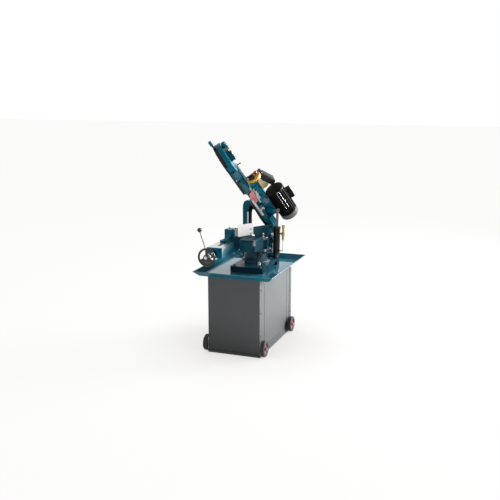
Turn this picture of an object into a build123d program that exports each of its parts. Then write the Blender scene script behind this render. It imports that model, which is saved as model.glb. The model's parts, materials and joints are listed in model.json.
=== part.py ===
from build123d import *
import math
import os

os.makedirs("parts", exist_ok=True)

# Clearances: running fit, free gap between pieces that pass each other
FIT = 0.05
GAP = 0.3

# Cabinet stand
CAB_L = 783.0
CAB_W = 417.0
CAB_H = 597.0
CAB_WALL = 3.0
PANEL_EDGE = 48.0
FOOT_H = 24.0
FOOT_OUT = 3.0

# Road wheels
ROAD_R = 62.5
ROAD_W = 32.0
ROAD_HUB_R = 36.0
ROAD_AXLE_R = 8.0
ROAD_LIFT = 2.0
ROAD_X_NEAR = -355.0
ROAD_X_FAR = 314.0
BRACKET_T = 6.0

# Tray
TRAY_L = 787.0
TRAY_W = 554.0
TRAY_T = 3.0
TRAY_FLARE = 40.0
TRAY_RISE = 37.0

# Base, king post and swivel
SWIVEL_X = 48.0
SWIVEL_Y = -20.0
BASE_X0 = -201.0
BASE_X1 = 229.0
BASE_Y0 = -160.0
BASE_Y1 = 110.0
BASE_H = 46.0
POST_R = 55.0
POST_H = 112.0
RING_R = 110.0
RING_H = 109.0
PIVOT_BACK = 175.0
PIVOT_Z = 880.0
SWIVEL_REST = 30.0
TILT_REST = 50.0
BOSS_R = 30.0
BOSS_HALF = 24.0
PIVOT_R = 15.0

# Vise
TABLE_X0 = -235.0
TABLE_X1 = -28.0
TABLE_Y0 = -105.0
TABLE_Y1 = 24.0
TABLE_EDGE = 4.0
HUB_R = 90.0
WING_X0 = -130.0
WING_Y1 = 99.0
TABLE_TOP = 862.0
TABLE_PLATE_T = 12.0
HUB_TOP = 826.0
BED_Y = 161.0
BED_HALF = 60.0
BED_TOP = 819.0
BED_BOTTOM = 740.0
BED_X0 = -366.0
BED_X1 = 60.0
SCREW_Z = 775.0
SCREW_R = 12.0
JAW_HALF = 42.0
JAW_TOP = 905.0
JAW_FACE_T = 8.0
FIXED_FACE_X = -20.0
JAW_GAP = 20.0
WHEEL_X = -520.0
HAND_R = 70.0
LEVER_LEN = 206.0
LEVER_TILT = 18.7

# Bow, wheels and blade (r from the pivot to the tip, w across, n along the wheel axle)
LEAN = 33.0
BAND_R = 120.0
BAND_W = 26.0
DRIVE_R = 130.0
IDLER_R = 700.0
HOUSE_R = 132.0
HOUSE_WALL = 6.0
RIM_N = -16.0
PLATE_N0 = 18.0
PLATE_N1 = 30.0
COVER_N = -34.0
COVER_T = 3.0
BEAM_W0 = 185.0
BEAM_W1 = 252.0
BLADE_T = 0.9
BLADE_W = 20.0
TOOTH_PITCH = 8.0
TOOTH_D = 3.0
SHAFT_R = 14.0
AXLE_R = 15.0

# Gear case, motor and controls
CASE_R0 = 70.0
CASE_R1 = 400.0
CASE_W0 = 52.0
CASE_W1 = 165.0
CASE_N0 = 44.0
CASE_N1 = 112.0
MOTOR_W = 14.4
MOTOR_N = 187.5
MOTOR_R = 75.0
MOTOR_R0 = 20.0
MOTOR_R1 = 307.0
FAN_LEN = 52.0
BOX_GAP = 27.0
BOX_LEN = 132.0
BOX_R0 = MOTOR_R1 + BOX_GAP
BOX_R1 = BOX_R0 + BOX_LEN
BOX_N0 = 212.0
BOX_N1 = 150.0
BOX_W = 82.0
BOX_WIDE = 90.0
BOX_DEEP = 45.0
PANEL_R = 56.0
PANEL_T = 20.0
PANEL_W = 21.0
PANEL_N = 108.0
STAY_WIDE = 40.0

# Blade guides
BAR_R0 = 240.0
BAR_R1 = 560.0
BAR_W0 = 200.0
BAR_W1 = 238.0
BAR_T = 12.0
SLOT_W = 10.0
ARM_R0 = 345.0
ARM_LEN = 50.0
SHOE_LEN = 95.0
PAD_LEN = 30.0
HOOD_LAP = 32.0
HOOD_GAP = 155.0
NEST_R0 = IDLER_R - 135.0
NEST_R1 = IDLER_R - 60.0
LOCK_R = 400.0
SHIELD_M = 34.0
SHIELD_LEN = 100.0
SHIELD_H0 = -14.0
SHIELD_H1 = 24.0

# Blade tension
TENSION_N = 53.0
SLIDE_HALF = 33.0
STOP_R0 = IDLER_R + 72.0
STOP_T = 26.0
TENSION_R = 8.0

# Feed cylinder
CYL_M = 112.0
CYL_BACK = 61.0
CYL_DROP = 195.0
CYL_R = 27.0
CYL_BORE = 22.0
ROD_R = 10.0
CYL_LEN = 239.0
CYL_PIN_R = 9.0
EYE_R = 165.0
EYE_H = 72.0
VALVE_Y = -75.0
VALVE_R = 9.0
VALVE_Z0 = 150.0
VALVE_Z1 = 240.0
PIPE_R = 3.0
PIPE_BEND = 12.0
PORT_Z = 52.0


def block(x0, x1, y0, y1, z0, z1):
    centre = Pos((x0 + x1) / 2, (y0 + y1) / 2, (z0 + z1) / 2)
    return centre * Box(x1 - x0, y1 - y0, z1 - z0)


def rod_x(x0, x1, y, z, radius):
    return Pos((x0 + x1) / 2, y, z) * Rot(0, 90, 0) * Cylinder(radius, x1 - x0)


def rod_y(y0, y1, x, z, radius):
    return Pos(x, (y0 + y1) / 2, z) * Rot(90, 0, 0) * Cylinder(radius, y1 - y0)


def rod_z(z0, z1, x, y, radius):
    return Pos(x, y, (z0 + z1) / 2) * Cylinder(radius, z1 - z0)


def side_plate(points, m0, m1):
    """Profile in pivot-to-tip and height, thick along the cross direction m."""
    profile = Polygon(*[(-r, h) for r, h in points], align=None)
    return extrude(Plane.XZ.offset(m0) * profile, m1 - m0, dir=(0, -1, 0))


def head_block(r0, r1, m0, m1, h0, h1):
    return block(-r1, -r0, -m1, -m0, h0, h1)


def bow_block(r0, r1, w0, w1, n0, n1):
    return block(-r1, -r0, w0, w1, n0, n1)


def bow_disc(r, w, n0, n1, radius):
    return rod_z(n0, n1, -r, w, radius)


def save(shape, name):
    export_step(shape, f"parts/{name}.step")


swivel = Pos(SWIVEL_X, SWIVEL_Y, 0) * Rot(0, 0, -SWIVEL_REST)
column = swivel * Pos(PIVOT_BACK, 0, PIVOT_Z)
head = column * Rot(0, TILT_REST, 0)
bow = head * Rot(LEAN, 0, 0)
to_bow = Rot(-LEAN, 0, 0)

# Cabinet: folded sheet box, open below, with set-back panels on the long sides
half_l = CAB_L / 2
half_w = CAB_W / 2
shell = block(-half_l, half_l, -half_w, half_w, 0, CAB_H)
shell += block(-half_l - FOOT_OUT, half_l + FOOT_OUT, -half_w - FOOT_OUT, half_w + FOOT_OUT, 0, FOOT_H)
shell -= block(
    -half_l + CAB_WALL, half_l - CAB_WALL, -half_w + CAB_WALL, half_w - CAB_WALL, 0, CAB_H - CAB_WALL
)
window_x = half_l - PANEL_EDGE
window_z0 = 2 * FOOT_H
window_z1 = CAB_H - PANEL_EDGE
shell -= block(-window_x, window_x, -half_w, half_w, window_z0, window_z1)
lap = 8.0
for side in (-1, 1):
    y_out = side * (half_w - CAB_WALL)
    y_in = side * (half_w - 2 * CAB_WALL)
    shell += block(
        -window_x - lap, window_x + lap, min(y_out, y_in), max(y_out, y_in), window_z0 - lap, window_z1 + lap
    )
shell += block(-PANEL_EDGE, PANEL_EDGE, -half_w, half_w, 0, CAB_WALL)
save(shell, "cabinet")

# Road wheels on stub axles, each axle part of its bracket plate
road_z = ROAD_R + ROAD_LIFT
tyre_in = half_w + BRACKET_T + 2
tyre_out = tyre_in + ROAD_W
brackets = []
for end, road_x in (("near", ROAD_X_NEAR), ("far", ROAD_X_FAR)):
    for name, side in (("front", -1), ("back", 1)):
        face = side * half_w
        plate_y = side * (half_w + BRACKET_T)
        foot = FOOT_H + GAP
        plate = block(road_x - 36, road_x + 36, min(face, plate_y), max(face, plate_y), foot, 118)
        plate = fillet(plate.edges().filter_by(Axis.Y).group_by(Axis.Z)[-1], 20)
        stub_end = side * (tyre_out + 1)
        cap_end = side * (tyre_out + 7)
        plate += rod_y(min(face, stub_end), max(face, stub_end), road_x, road_z, ROAD_AXLE_R)
        plate += rod_y(min(stub_end, cap_end), max(stub_end, cap_end), road_x, road_z, 13)
        brackets.append(plate)
        section = Pos((ROAD_HUB_R + ROAD_R) / 2, 0) * RectangleRounded(ROAD_R - ROAD_HUB_R, ROAD_W, 5)
        tyre = revolve(Plane.XY * section, Axis.Y)
        hub_profile = Polygon(
            (ROAD_AXLE_R + FIT, -ROAD_W / 2), (18, -ROAD_W / 2), (18, -5), (ROAD_HUB_R, -9),
            (ROAD_HUB_R, 9), (18, 5), (18, ROAD_W / 2), (ROAD_AXLE_R + FIT, ROAD_W / 2), align=None,
        )
        hub = revolve(Plane.XY * hub_profile, Axis.Y)
        place = Pos(road_x, side * (tyre_in + tyre_out) / 2, road_z)
        save(place * tyre, f"tyre_{end}_{name}")
        save(place * hub, f"road_hub_{end}_{name}")
save(Compound(children=brackets), "wheel_brackets")

# Tray: flat floor with a flared rim
floor_z = CAB_H + TRAY_T
flare_rate = TRAY_FLARE / TRAY_RISE
rim_top = CAB_H + TRAY_RISE
outer_low = Pos(0, 0, CAB_H) * Rectangle(TRAY_L, TRAY_W)
outer_high = Pos(0, 0, rim_top) * Rectangle(TRAY_L + 2 * TRAY_FLARE, TRAY_W + 2 * TRAY_FLARE)
inset = 2 * (TRAY_T * flare_rate - 1.4 * TRAY_T)
inner_low = Pos(0, 0, floor_z) * Rectangle(TRAY_L + inset, TRAY_W + inset)
inner_grow = inset + 2 * (TRAY_RISE - TRAY_T) * flare_rate
inner_high = Pos(0, 0, rim_top) * Rectangle(TRAY_L + inner_grow, TRAY_W + inner_grow)
tray = loft([outer_low, outer_high], ruled=True) - loft([inner_low, inner_high], ruled=True)
save(tray, "tray")

# Base block with an arched recess in the front side, and the king post on it
base_top = floor_z + BASE_H
base = block(BASE_X0, BASE_X1, BASE_Y0, BASE_Y1, floor_z, base_top)
base = fillet(base.edges().filter_by(Axis.Z), 22)
base = chamfer(base.faces().sort_by(Axis.Z)[-1].edges(), 4)
arch = block(-120, 150, BASE_Y0 - 1, BASE_Y0 + 34, floor_z, floor_z + 20)
arch += rod_y(BASE_Y0 - 1, BASE_Y0 + 34, -90, floor_z + 4, 30)
arch += rod_y(BASE_Y0 - 1, BASE_Y0 + 34, 120, floor_z + 4, 30)
arch &= block(-120, 150, BASE_Y0 - 1, BASE_Y0 + 34, floor_z, base_top)
save(base - arch, "base_block")
post_top = base_top + POST_H
king_post = rod_z(base_top, post_top, SWIVEL_X, SWIVEL_Y, POST_R)
king_post = chamfer(king_post.edges().group_by(Axis.Z)[-1], 3)
save(king_post, "king_post")

# Swivel ring with the arm and the column that carries the head pivot
ring_z0 = base_top + GAP
ring_z1 = base_top + RING_H
ring_profile = Polygon(
    (POST_R + FIT, ring_z0), (RING_R, ring_z0), (RING_R, ring_z0 + 22), (RING_R - 16, ring_z0 + 34),
    (RING_R - 16, ring_z1 - 28), (RING_R - 3, ring_z1 - 20), (RING_R - 3, ring_z1), (POST_R + FIT, ring_z1),
    align=None,
)
ring = revolve(Plane.XZ * ring_profile, Axis.Z)
arm = block(POST_R + 12, PIVOT_BACK + 40, -45, 45, base_top + 9, base_top + 89)
arm = fillet(arm.edges().filter_by(Axis.Z).group_by(Axis.X)[-1], 20)
web = block(PIVOT_BACK - 28, PIVOT_BACK + 30, -BOSS_HALF, BOSS_HALF, base_top + 80, PIVOT_Z)
web &= rod_y(-BOSS_HALF, BOSS_HALF, PIVOT_BACK, PIVOT_Z, BOSS_R) + block(
    PIVOT_BACK - 28, PIVOT_BACK + 30, -BOSS_HALF, BOSS_HALF, base_top + 80, PIVOT_Z - 8
)
boss = rod_y(-BOSS_HALF, BOSS_HALF, PIVOT_BACK, PIVOT_Z, BOSS_R)
pin_x = PIVOT_BACK - CYL_BACK
pin_z = PIVOT_Z - CYL_DROP
lug = rod_y(-CYL_M + 13, -40, pin_x, pin_z, 22)
pin = rod_y(-CYL_M - 16, -CYL_M + 13, pin_x, pin_z, CYL_PIN_R)
swivel_arm = ring + arm + web + boss + lug + pin
swivel_arm -= rod_y(-BOSS_HALF - 1, BOSS_HALF + 1, PIVOT_BACK, PIVOT_Z, PIVOT_R + FIT)
swivel_arm -= rod_z(ring_z0 - 1, ring_z1 + 1, 0, 0, POST_R + FIT)
lock_z = ring_z0 + 70
lock_place = Rot(0, 0, -28) * Pos(0, 0, lock_z)
stud_y = -RING_R + 30
swivel_arm -= lock_place * rod_y(-RING_R, stud_y + GAP, 0, 0, 6 + FIT)
save(swivel * swivel_arm, "swivel_arm")

# Swivel clamp lever on the front of the ring
lock_y = -RING_R + 3
lever = rod_y(lock_y - 26, lock_y - GAP, 0, 0, 13)
lever += Pos(0, lock_y - 14, 0) * Rot(0, 70, 0) * Pos(0, 0, 48) * Cylinder(5.5, 96)
lever += Pos(0, lock_y - 14, 0) * Rot(0, 70, 0) * Pos(0, 0, 100) * Sphere(12)
lever += rod_y(lock_y - 1, stud_y, 0, 0, 6)
save(swivel * lock_place * lever, "swivel_lock")

# Guard beside the blade: cast bracket on the column, sheet plate on the bracket
bracket_m0 = BOSS_HALF + 26
bracket_m1 = bracket_m0 + 10
low = HUB_TOP - PIVOT_Z + 12
high = TABLE_TOP - PIVOT_Z + 14
guard_profile = [
    (-26, -105), (26, -105), (74, low), (222, low), (236, high), (292, high), (292, 55), (100, 55), (60, 0),
    (-26, -48),
]
guard_bracket = side_plate(guard_profile, bracket_m0, bracket_m1)
guard_bracket += head_block(-22, 24, BOSS_HALF, bracket_m0, -100, -52)
save(column * guard_bracket, "guard_bracket")
guard_plate = head_block(258, 410, bracket_m1, bracket_m1 + 3, high, 88)
guard_plate = fillet(guard_plate.edges().filter_by(Axis.Y), 8)
save(column * guard_plate, "guard_plate")

# Vise table casting on the king post, with its machined plate
table_z = TABLE_TOP - TABLE_PLATE_T
table = rod_z(post_top, HUB_TOP, SWIVEL_X, SWIVEL_Y, HUB_R)
table += block(-70, SWIVEL_X, -98, 76, post_top + 8, HUB_TOP)
raised = block(TABLE_X0, TABLE_X1, TABLE_Y0, TABLE_Y1, post_top + 14, table_z)
raised = fillet(raised.edges().filter_by(Axis.Z).group_by(Axis.X)[0], 40)
table += raised + block(WING_X0, TABLE_X1, TABLE_Y1, WING_Y1, post_top + 14, table_z)
save(table, "vise_table")
plate_x1 = TABLE_X1 - TABLE_EDGE
plate_y1 = TABLE_Y1 - TABLE_EDGE
plate = block(TABLE_X0 + TABLE_EDGE, plate_x1, TABLE_Y0 + TABLE_EDGE, plate_y1, table_z, TABLE_TOP)
plate = fillet(plate.edges().filter_by(Axis.Z).group_by(Axis.X)[0], 40 - TABLE_EDGE)
plate += block(WING_X0 + TABLE_EDGE, plate_x1, plate_y1, WING_Y1 - TABLE_EDGE, table_z, TABLE_TOP)
save(plate, "table_plate")

# Vise bed: inverted channel with a guide slot, closed at the far end
bed_y0 = BED_Y - BED_HALF
bed_y1 = BED_Y + BED_HALF
bed = block(BED_X0, BED_X1, bed_y0, bed_y1, BED_BOTTOM, BED_TOP)
bed -= block(BED_X0 - 1, BED_X1 - 20, bed_y0 + 20, bed_y1 - 20, BED_BOTTOM, BED_TOP - 22)
bed -= block(BED_X0 + 70, FIXED_FACE_X - 4, BED_Y - 12, BED_Y + 12, BED_BOTTOM, BED_TOP + 1)
bed -= rod_x(BED_X1 - 21, BED_X1 - 8, BED_Y, SCREW_Z, SCREW_R + FIT)
bed += block(WING_X0, TABLE_X1, WING_Y1, bed_y0, BED_BOTTOM + 34, BED_TOP)
save(bed, "vise_bed")
bearing = block(BED_X0 - 12, BED_X0, bed_y0, bed_y1, BED_BOTTOM, BED_TOP)
bearing += rod_x(WHEEL_X + 42, BED_X0 - 12, BED_Y, SCREW_Z, 21)
bearing -= rod_x(WHEEL_X, BED_X0 + 1, BED_Y, SCREW_Z, SCREW_R + FIT)
save(bearing, "screw_bearing")

# Jaws with bright face plates
jaw_y0 = BED_Y - JAW_HALF
jaw_y1 = BED_Y + JAW_HALF
fixed_back = FIXED_FACE_X + JAW_FACE_T
fixed_jaw = block(fixed_back, fixed_back + 26, jaw_y0, jaw_y1, BED_TOP, JAW_TOP)
heel = Plane.XZ * Polygon(
    (fixed_back + 26, BED_TOP), (fixed_back + 54, BED_TOP), (fixed_back + 26, JAW_TOP - 16), align=None
)
fixed_jaw += Pos(0, BED_Y + 15, 0) * extrude(heel, 30, dir=(0, -1, 0))
save(fixed_jaw, "fixed_jaw")
save(block(FIXED_FACE_X, fixed_back, jaw_y0, jaw_y1, BED_TOP, JAW_TOP), "fixed_jaw_plate")
slide_face = FIXED_FACE_X - JAW_GAP
slide_back = slide_face - JAW_FACE_T
slide_z = BED_TOP + GAP
jaw = block(slide_back - 22, slide_back, jaw_y0, jaw_y1, slide_z, JAW_TOP)
jaw += block(slide_back - 116, slide_back, jaw_y0, jaw_y1, slide_z, slide_z + 16)
gusset = Plane.XZ * Polygon(
    (slide_back - 22, slide_z + 10), (slide_back - 108, slide_z + 10), (slide_back - 92, slide_z + 24),
    (slide_back - 52, slide_z + 34), (slide_back - 30, slide_z + 50), (slide_back - 22, slide_z + 74),
    align=None,
)
jaw += Pos(0, BED_Y + 18, 0) * extrude(gusset, 36, dir=(0, -1, 0))
key = 12 - GAP
jaw += block(slide_back - 80, slide_back - 30, BED_Y - key, BED_Y + key, SCREW_Z - 20, slide_z + 2)
jaw -= rod_x(slide_back - 90, slide_back - 20, BED_Y, SCREW_Z, SCREW_R + GAP)
jaw_nut = block(slide_back - 80, slide_back - 30, BED_Y - 26, BED_Y + 26, SCREW_Z - 22, SCREW_Z + 16)
jaw_nut -= rod_x(slide_back - 90, slide_back - 20, BED_Y, SCREW_Z, SCREW_R + GAP)
save(jaw + jaw_nut, "movable_jaw")
save(block(slide_back, slide_face, jaw_y0, jaw_y1, slide_z, JAW_TOP), "jaw_plate")

# Vise screw, handwheel and quick lever
screw = rod_x(WHEEL_X - 15, BED_X1 - 8 - GAP, BED_Y, SCREW_Z, SCREW_R)
save(screw, "vise_screw")
rim = Pos(WHEEL_X, BED_Y, SCREW_Z) * Rot(0, 90, 0) * Torus(HAND_R - 8, 8)
spokes = rod_x(WHEEL_X - 14, WHEEL_X + 13, BED_Y, SCREW_Z, 22)
for turn in range(3):
    spoke = Rot(turn * 120, 0, 0) * Pos(0, 0, (HAND_R - 8) / 2) * Box(10, 16, HAND_R - 8)
    spokes += Pos(WHEEL_X, BED_Y, SCREW_Z) * spoke
handwheel = rim + spokes
handwheel -= rod_x(WHEEL_X - 15, WHEEL_X + 20, BED_Y, SCREW_Z, SCREW_R)
save(handwheel, "handwheel")
lever_x = WHEEL_X + 28
lever_place = Pos(lever_x, BED_Y, SCREW_Z) * Rot(-LEVER_TILT, 0, 0)
lever_hub = rod_x(-13.7, 13.7, 0, 0, 19) + Pos(0, 0, LEVER_LEN / 2) * Cylinder(5.5, LEVER_LEN - 20)
lever_hub -= rod_x(-20, 20, 0, 0, SCREW_R + GAP)
save(lever_place * lever_hub, "clamp_lever")
ball = Pos(0, 0, LEVER_LEN) * Sphere(17)
ball -= Pos(0, 0, LEVER_LEN / 2) * Cylinder(5.5, LEVER_LEN - 20)
save(lever_place * ball, "lever_ball")

# Gooseneck post: cast arm standing in the far corner of the tray
neck = Plane.YZ * Polygon(
    (208, floor_z), (208, 1040), (196, 1070), (176, 1081), (120, 1081), (86, 1062), (80, 1030), (98, 1004),
    (124, 1012), (140, 996), (144, 960), (144, floor_z), align=None,
)
neck = Pos(345, 0, 0) * extrude(neck, 46, dir=(1, 0, 0))
neck = fillet(neck.edges().filter_by(Axis.X), 5)
neck += block(328, 392, 130, 222, floor_z, floor_z + 14)
save(neck, "gooseneck_post")

# Bow frame: casting with two wheel housings, the channel beam and the pivot fork
drive_at = (DRIVE_R, BAND_R)
idler_at = (IDLER_R, BAND_R)
frame = bow_block(DRIVE_R, IDLER_R, BEAM_W0, BEAM_W1, RIM_N, PLATE_N1)
channel_w0 = BEAM_W0 + HOUSE_WALL
channel_w1 = BEAM_W1 - HOUSE_WALL
frame += bow_disc(*drive_at, RIM_N, PLATE_N1, HOUSE_R)
frame += bow_disc(*idler_at, RIM_N, PLATE_N1, HOUSE_R)
fork = side_plate([(0, -26), (60, 6), (125, 8), (125, 56), (60, 56), (0, 26)], -41, 41)
fork += rod_y(-41, 41, 0, 0, 26)
fork -= rod_y(-BOSS_HALF - 0.6, BOSS_HALF + 0.6, 0, 0, BOSS_R + 12)
fork -= rod_y(-42, 42, 0, 0, PIVOT_R)
frame += to_bow * fork
cavity_r = HOUSE_R - HOUSE_WALL
cavity = bow_disc(*drive_at, COVER_N, PLATE_N0, cavity_r) + bow_disc(*idler_at, COVER_N, PLATE_N0, cavity_r)
cavity += bow_block(DRIVE_R, IDLER_R, channel_w0, channel_w1, COVER_N, PLATE_N0)
cavity += bow_block(DRIVE_R + 20, IDLER_R - 20, -9, 9, COVER_N, 14)
frame -= cavity
frame -= bow_disc(*drive_at, 2 * COVER_N, RIM_N, HOUSE_R)
frame -= bow_disc(*drive_at, PLATE_N0 - 1, PLATE_N1 + 1, SHAFT_R + GAP)
frame -= bow_disc(*idler_at, PLATE_N0 - 1, PLATE_N1 + 1, AXLE_R)
lock_at = (LOCK_R, (BAR_W0 + BAR_W1) / 2)
frame -= bow_disc(*lock_at, PLATE_N0 - 1, PLATE_N1 + 1, 4.5 + FIT)
save(bow * frame, "bow_frame")

# Wheel covers: pressed cups closing the open side of the housings
for name, at in (("drive_cover", drive_at), ("idler_cover", idler_at)):
    cup = bow_disc(*at, COVER_N, RIM_N, HOUSE_R)
    cup = chamfer(cup.edges().group_by(Axis.Z)[0], 4)
    cup -= bow_disc(*at, COVER_N + COVER_T, RIM_N + 1, HOUSE_R - COVER_T)
    if name == "drive_cover":
        cup -= to_bow * rod_y(-60, 60, 0, 0, BOSS_R + 6)
    else:
        handle_r = IDLER_R + HOUSE_R - COVER_T
        cup += rod_x(-handle_r - 60, -handle_r, BAND_R, RIM_N - 9, 7) + rod_x(
            -handle_r - 66, -handle_r - 30, BAND_R, RIM_N - 9, 13
        )
    save(bow * cup, name)

# Band wheels: crowned rim, web with holes, hub; the drive wheel carries its shaft
half_b = BAND_W / 2
wheel_profile = Polygon(
    (0, -16), (27, -16), (27, -5), (BAND_R - 16, -5), (BAND_R - 16, -half_b), (BAND_R, -half_b),
    (BAND_R, half_b), (BAND_R - 16, half_b), (BAND_R - 16, 5), (27, 5), (27, 17), (0, 17), align=None,
)
blank = revolve(Plane.XZ * wheel_profile, Axis.Z)
holes = [rod_z(-20, 20, 64 * math.cos(a), 64 * math.sin(a), 20) for a in (math.tau * k / 5 for k in range(5))]
for hole in holes:
    blank -= hole
drive_wheel = blank + rod_z(0, 75, 0, 0, SHAFT_R)
save(bow * Pos(-DRIVE_R, BAND_R, 0) * drive_wheel, "drive_wheel")
idler_wheel = blank - rod_z(-20, 20, 0, 0, AXLE_R + FIT)
save(bow * Pos(-IDLER_R, BAND_R, 0) * idler_wheel, "idler_wheel")

# Blade: loop in the wheel plane on the return side, twisted upright between the guides
run_w = -GAP - BLADE_T / 2
lap_r = BAND_R + GAP
half_blade = BLADE_W / 2


def section(r, turn):
    strip = Plane.YZ * Rectangle(BLADE_T, BLADE_W)
    return Pos(-r, run_w, 0) * Rot(-turn, 0, 0) * strip


twist = [(DRIVE_R, 0), (150, 0), (210, LEAN), (ARM_R0 + SHOE_LEN, LEAN), (NEST_R1, 0), (IDLER_R, 0)]
blade = None
for (r0, turn0), (r1, turn1) in zip(twist[:-1], twist[1:]):
    run = loft([section(r0, turn0), section(r1, turn1)], ruled=True)
    blade = run if blade is None else blade + run
loop_ring = Circle(lap_r + BLADE_T) - Circle(lap_r)
for r, side in ((DRIVE_R, 1), (IDLER_R, -1)):
    bend = extrude(Pos(0, 0, -half_blade) * loop_ring, BLADE_W, dir=(0, 0, 1))
    bend &= Pos(side * 100, 0, 0) * Box(200, 400, 60)
    blade += Pos(-r, BAND_R, 0) * bend
return_w = 2 * BAND_R + GAP
blade += bow_block(DRIVE_R, IDLER_R, return_w, return_w + BLADE_T, -half_blade, half_blade)
for k in range(int(80 / TOOTH_PITCH)):
    r = 215 + k * TOOTH_PITCH
    tip = -half_blade - 0.5
    notch = side_plate([(r, tip), (r + TOOTH_PITCH - 1, tip), (r + 2, tip + TOOTH_D)], -4, 4)
    blade -= Pos(0, run_w, 0) * to_bow * notch
save(bow * blade, "blade")

# Pivot shaft with its end collar
shaft = rod_y(-50, 41, 0, 0, PIVOT_R) + rod_y(-58, -41, 0, 0, 22)
save(head * shaft, "pivot_shaft")

# Gear case with the motor seat, drive shaft bearing and the feed cylinder post
case = bow_block(CASE_R0, CASE_R1, CASE_W0, CASE_W1, CASE_N0, CASE_N1)
case = fillet(case.edges().filter_by(Axis.Z), 20)
case = chamfer(case.faces().sort_by(Axis.Z)[-1].edges(), 5)
case += bow_disc(*drive_at, PLATE_N1, CASE_N0, 62)
case += to_bow * rod_y(-CYL_M + 10, 34, -EYE_R, EYE_H, 13)
case -= bow_disc(*drive_at, PLATE_N1 - 1, 75 + GAP, SHAFT_R + FIT)
save(bow * case, "gear_case")

# Motor: finned body on a foot, domed fan cover, terminal box
motor_x1 = -MOTOR_R0 - FAN_LEN
core = rod_x(-MOTOR_R1, motor_x1, MOTOR_W, MOTOR_N, MOTOR_R - 9)
core += rod_x(-MOTOR_R1, -MOTOR_R1 + 14, MOTOR_W, MOTOR_N, MOTOR_R)
core += rod_x(motor_x1 - 10, motor_x1, MOTOR_W, MOTOR_N, MOTOR_R)
for k in range(20):
    fin = Rot(18 * k, 0, 0) * Pos((motor_x1 - MOTOR_R1) / 2, 0, MOTOR_R - 9) * Box(
        MOTOR_R1 + motor_x1 - 20, 3.5, 18
    )
    core += Pos(0, MOTOR_W, MOTOR_N) * fin
core += bow_block(110, 240, CASE_W0 + 6, 82, CASE_N1, MOTOR_N - 34)
save(bow * core, "motor_body")
dome = Polygon(
    (0, 0), (MOTOR_R, 0), (MOTOR_R, FAN_LEN - 18), (MOTOR_R - 5, FAN_LEN - 8), (MOTOR_R - 16, FAN_LEN),
    (0, FAN_LEN), align=None,
)
fan = revolve(Plane.XZ * dome, Axis.Z)
save(bow * Pos(motor_x1, MOTOR_W, MOTOR_N) * Rot(0, 90, 0) * fan, "fan_cover")
term = bow_block(147, 232, MOTOR_W, MOTOR_W + 60, MOTOR_N + 40, MOTOR_N + 103)
term = fillet(term.edges().filter_by(Axis.Z), 8)
term -= rod_x(-MOTOR_R1, motor_x1, MOTOR_W, MOTOR_N, MOTOR_R + FIT)
save(bow * term, "terminal_box")

# Control box on a gusset bracket, with the yellow switch housing on its end
box_slope = math.degrees(math.atan2(BOX_N0 - BOX_N1, BOX_R1 - BOX_R0))
box_len = math.hypot(BOX_R1 - BOX_R0, BOX_N0 - BOX_N1)
box_mid = Pos(-(BOX_R0 + BOX_R1) / 2, BOX_W, (BOX_N0 + BOX_N1) / 2)
control = box_mid * Rot(0, -box_slope, 0) * fillet(Box(box_len, BOX_WIDE, BOX_DEEP).edges(), 5)
panel_r = BOX_R1 + 12
control += rod_x(-panel_r, -BOX_R1 - 2, PANEL_W, PANEL_N, PANEL_R - 6)
control += bow_block(BOX_R1 - 8, panel_r, PANEL_W + 16, BOX_W + 24, PANEL_N, BOX_N1 + 16)
save(bow * control, "control_box")
under = BOX_DEEP / 2 / math.cos(math.radians(box_slope))
fall = (BOX_N0 - BOX_N1) / (BOX_R1 - BOX_R0)


def under_box(r):
    return BOX_N0 - under - fall * (r - BOX_R0)


stay_r0 = BOX_R0 - 4
stay_r1 = CASE_R1 - 6
stay_points = [
    (stay_r0, CASE_N1), (stay_r1, CASE_N1), (stay_r1, under_box(stay_r1)),
    (stay_r0 + 20, under_box(stay_r0 + 20)), (stay_r0, CASE_N1 + 40),
]
stay = Plane.XZ * Polygon(*[(-r, n) for r, n in stay_points], align=None)
stay = Pos(0, BOX_W + STAY_WIDE / 2, 0) * extrude(stay, STAY_WIDE, dir=(0, -1, 0))
save(bow * stay, "control_bracket")
panel = rod_x(-panel_r - PANEL_T, -panel_r, PANEL_W, PANEL_N, PANEL_R)
panel = fillet(panel.edges().group_by(Axis.X)[0], 4)
knob_w = PANEL_W - 12
knob_n = PANEL_N - 14
stop_w = PANEL_W + 14
stop_n = PANEL_N + 28
face_x = -panel_r - PANEL_T
panel -= rod_x(face_x - 1, -panel_r + 1, knob_w, knob_n, 5 + FIT)
panel -= rod_x(face_x - 1, -panel_r + 1, stop_w, stop_n, 7 + FIT)
save(bow * panel, "switch_plate")
knob = rod_x(face_x - 20, face_x - GAP, knob_w, knob_n, 25)
knob += rod_x(face_x - 1, face_x + 12, knob_w, knob_n, 5)
knob += block(face_x - 30, face_x - 19, knob_w - 6, knob_w + 6, knob_n - 24, knob_n + 24)
save(bow * knob, "selector_knob")
stop = rod_x(face_x - 20, face_x - 8, stop_w, stop_n, 15) + rod_x(face_x - 9, face_x + 6, stop_w, stop_n, 7)
stop = fillet(stop.edges().group_by(Axis.X)[0], 4)
save(bow * stop, "stop_button")

# Blade guides: rear guide fixed to the frame, front guide on the sliding bar


def guide_pads(r0, r1):
    pads = head_block(r0, r1, 0.8, 20, -4, 18) + head_block(r0, r1, -9, -0.8, -4, 12)
    pads += head_block(r0, r1, -9, 6, half_blade + 0.6, 18)
    return Pos(0, run_w, 0) * to_bow * pads


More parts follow.
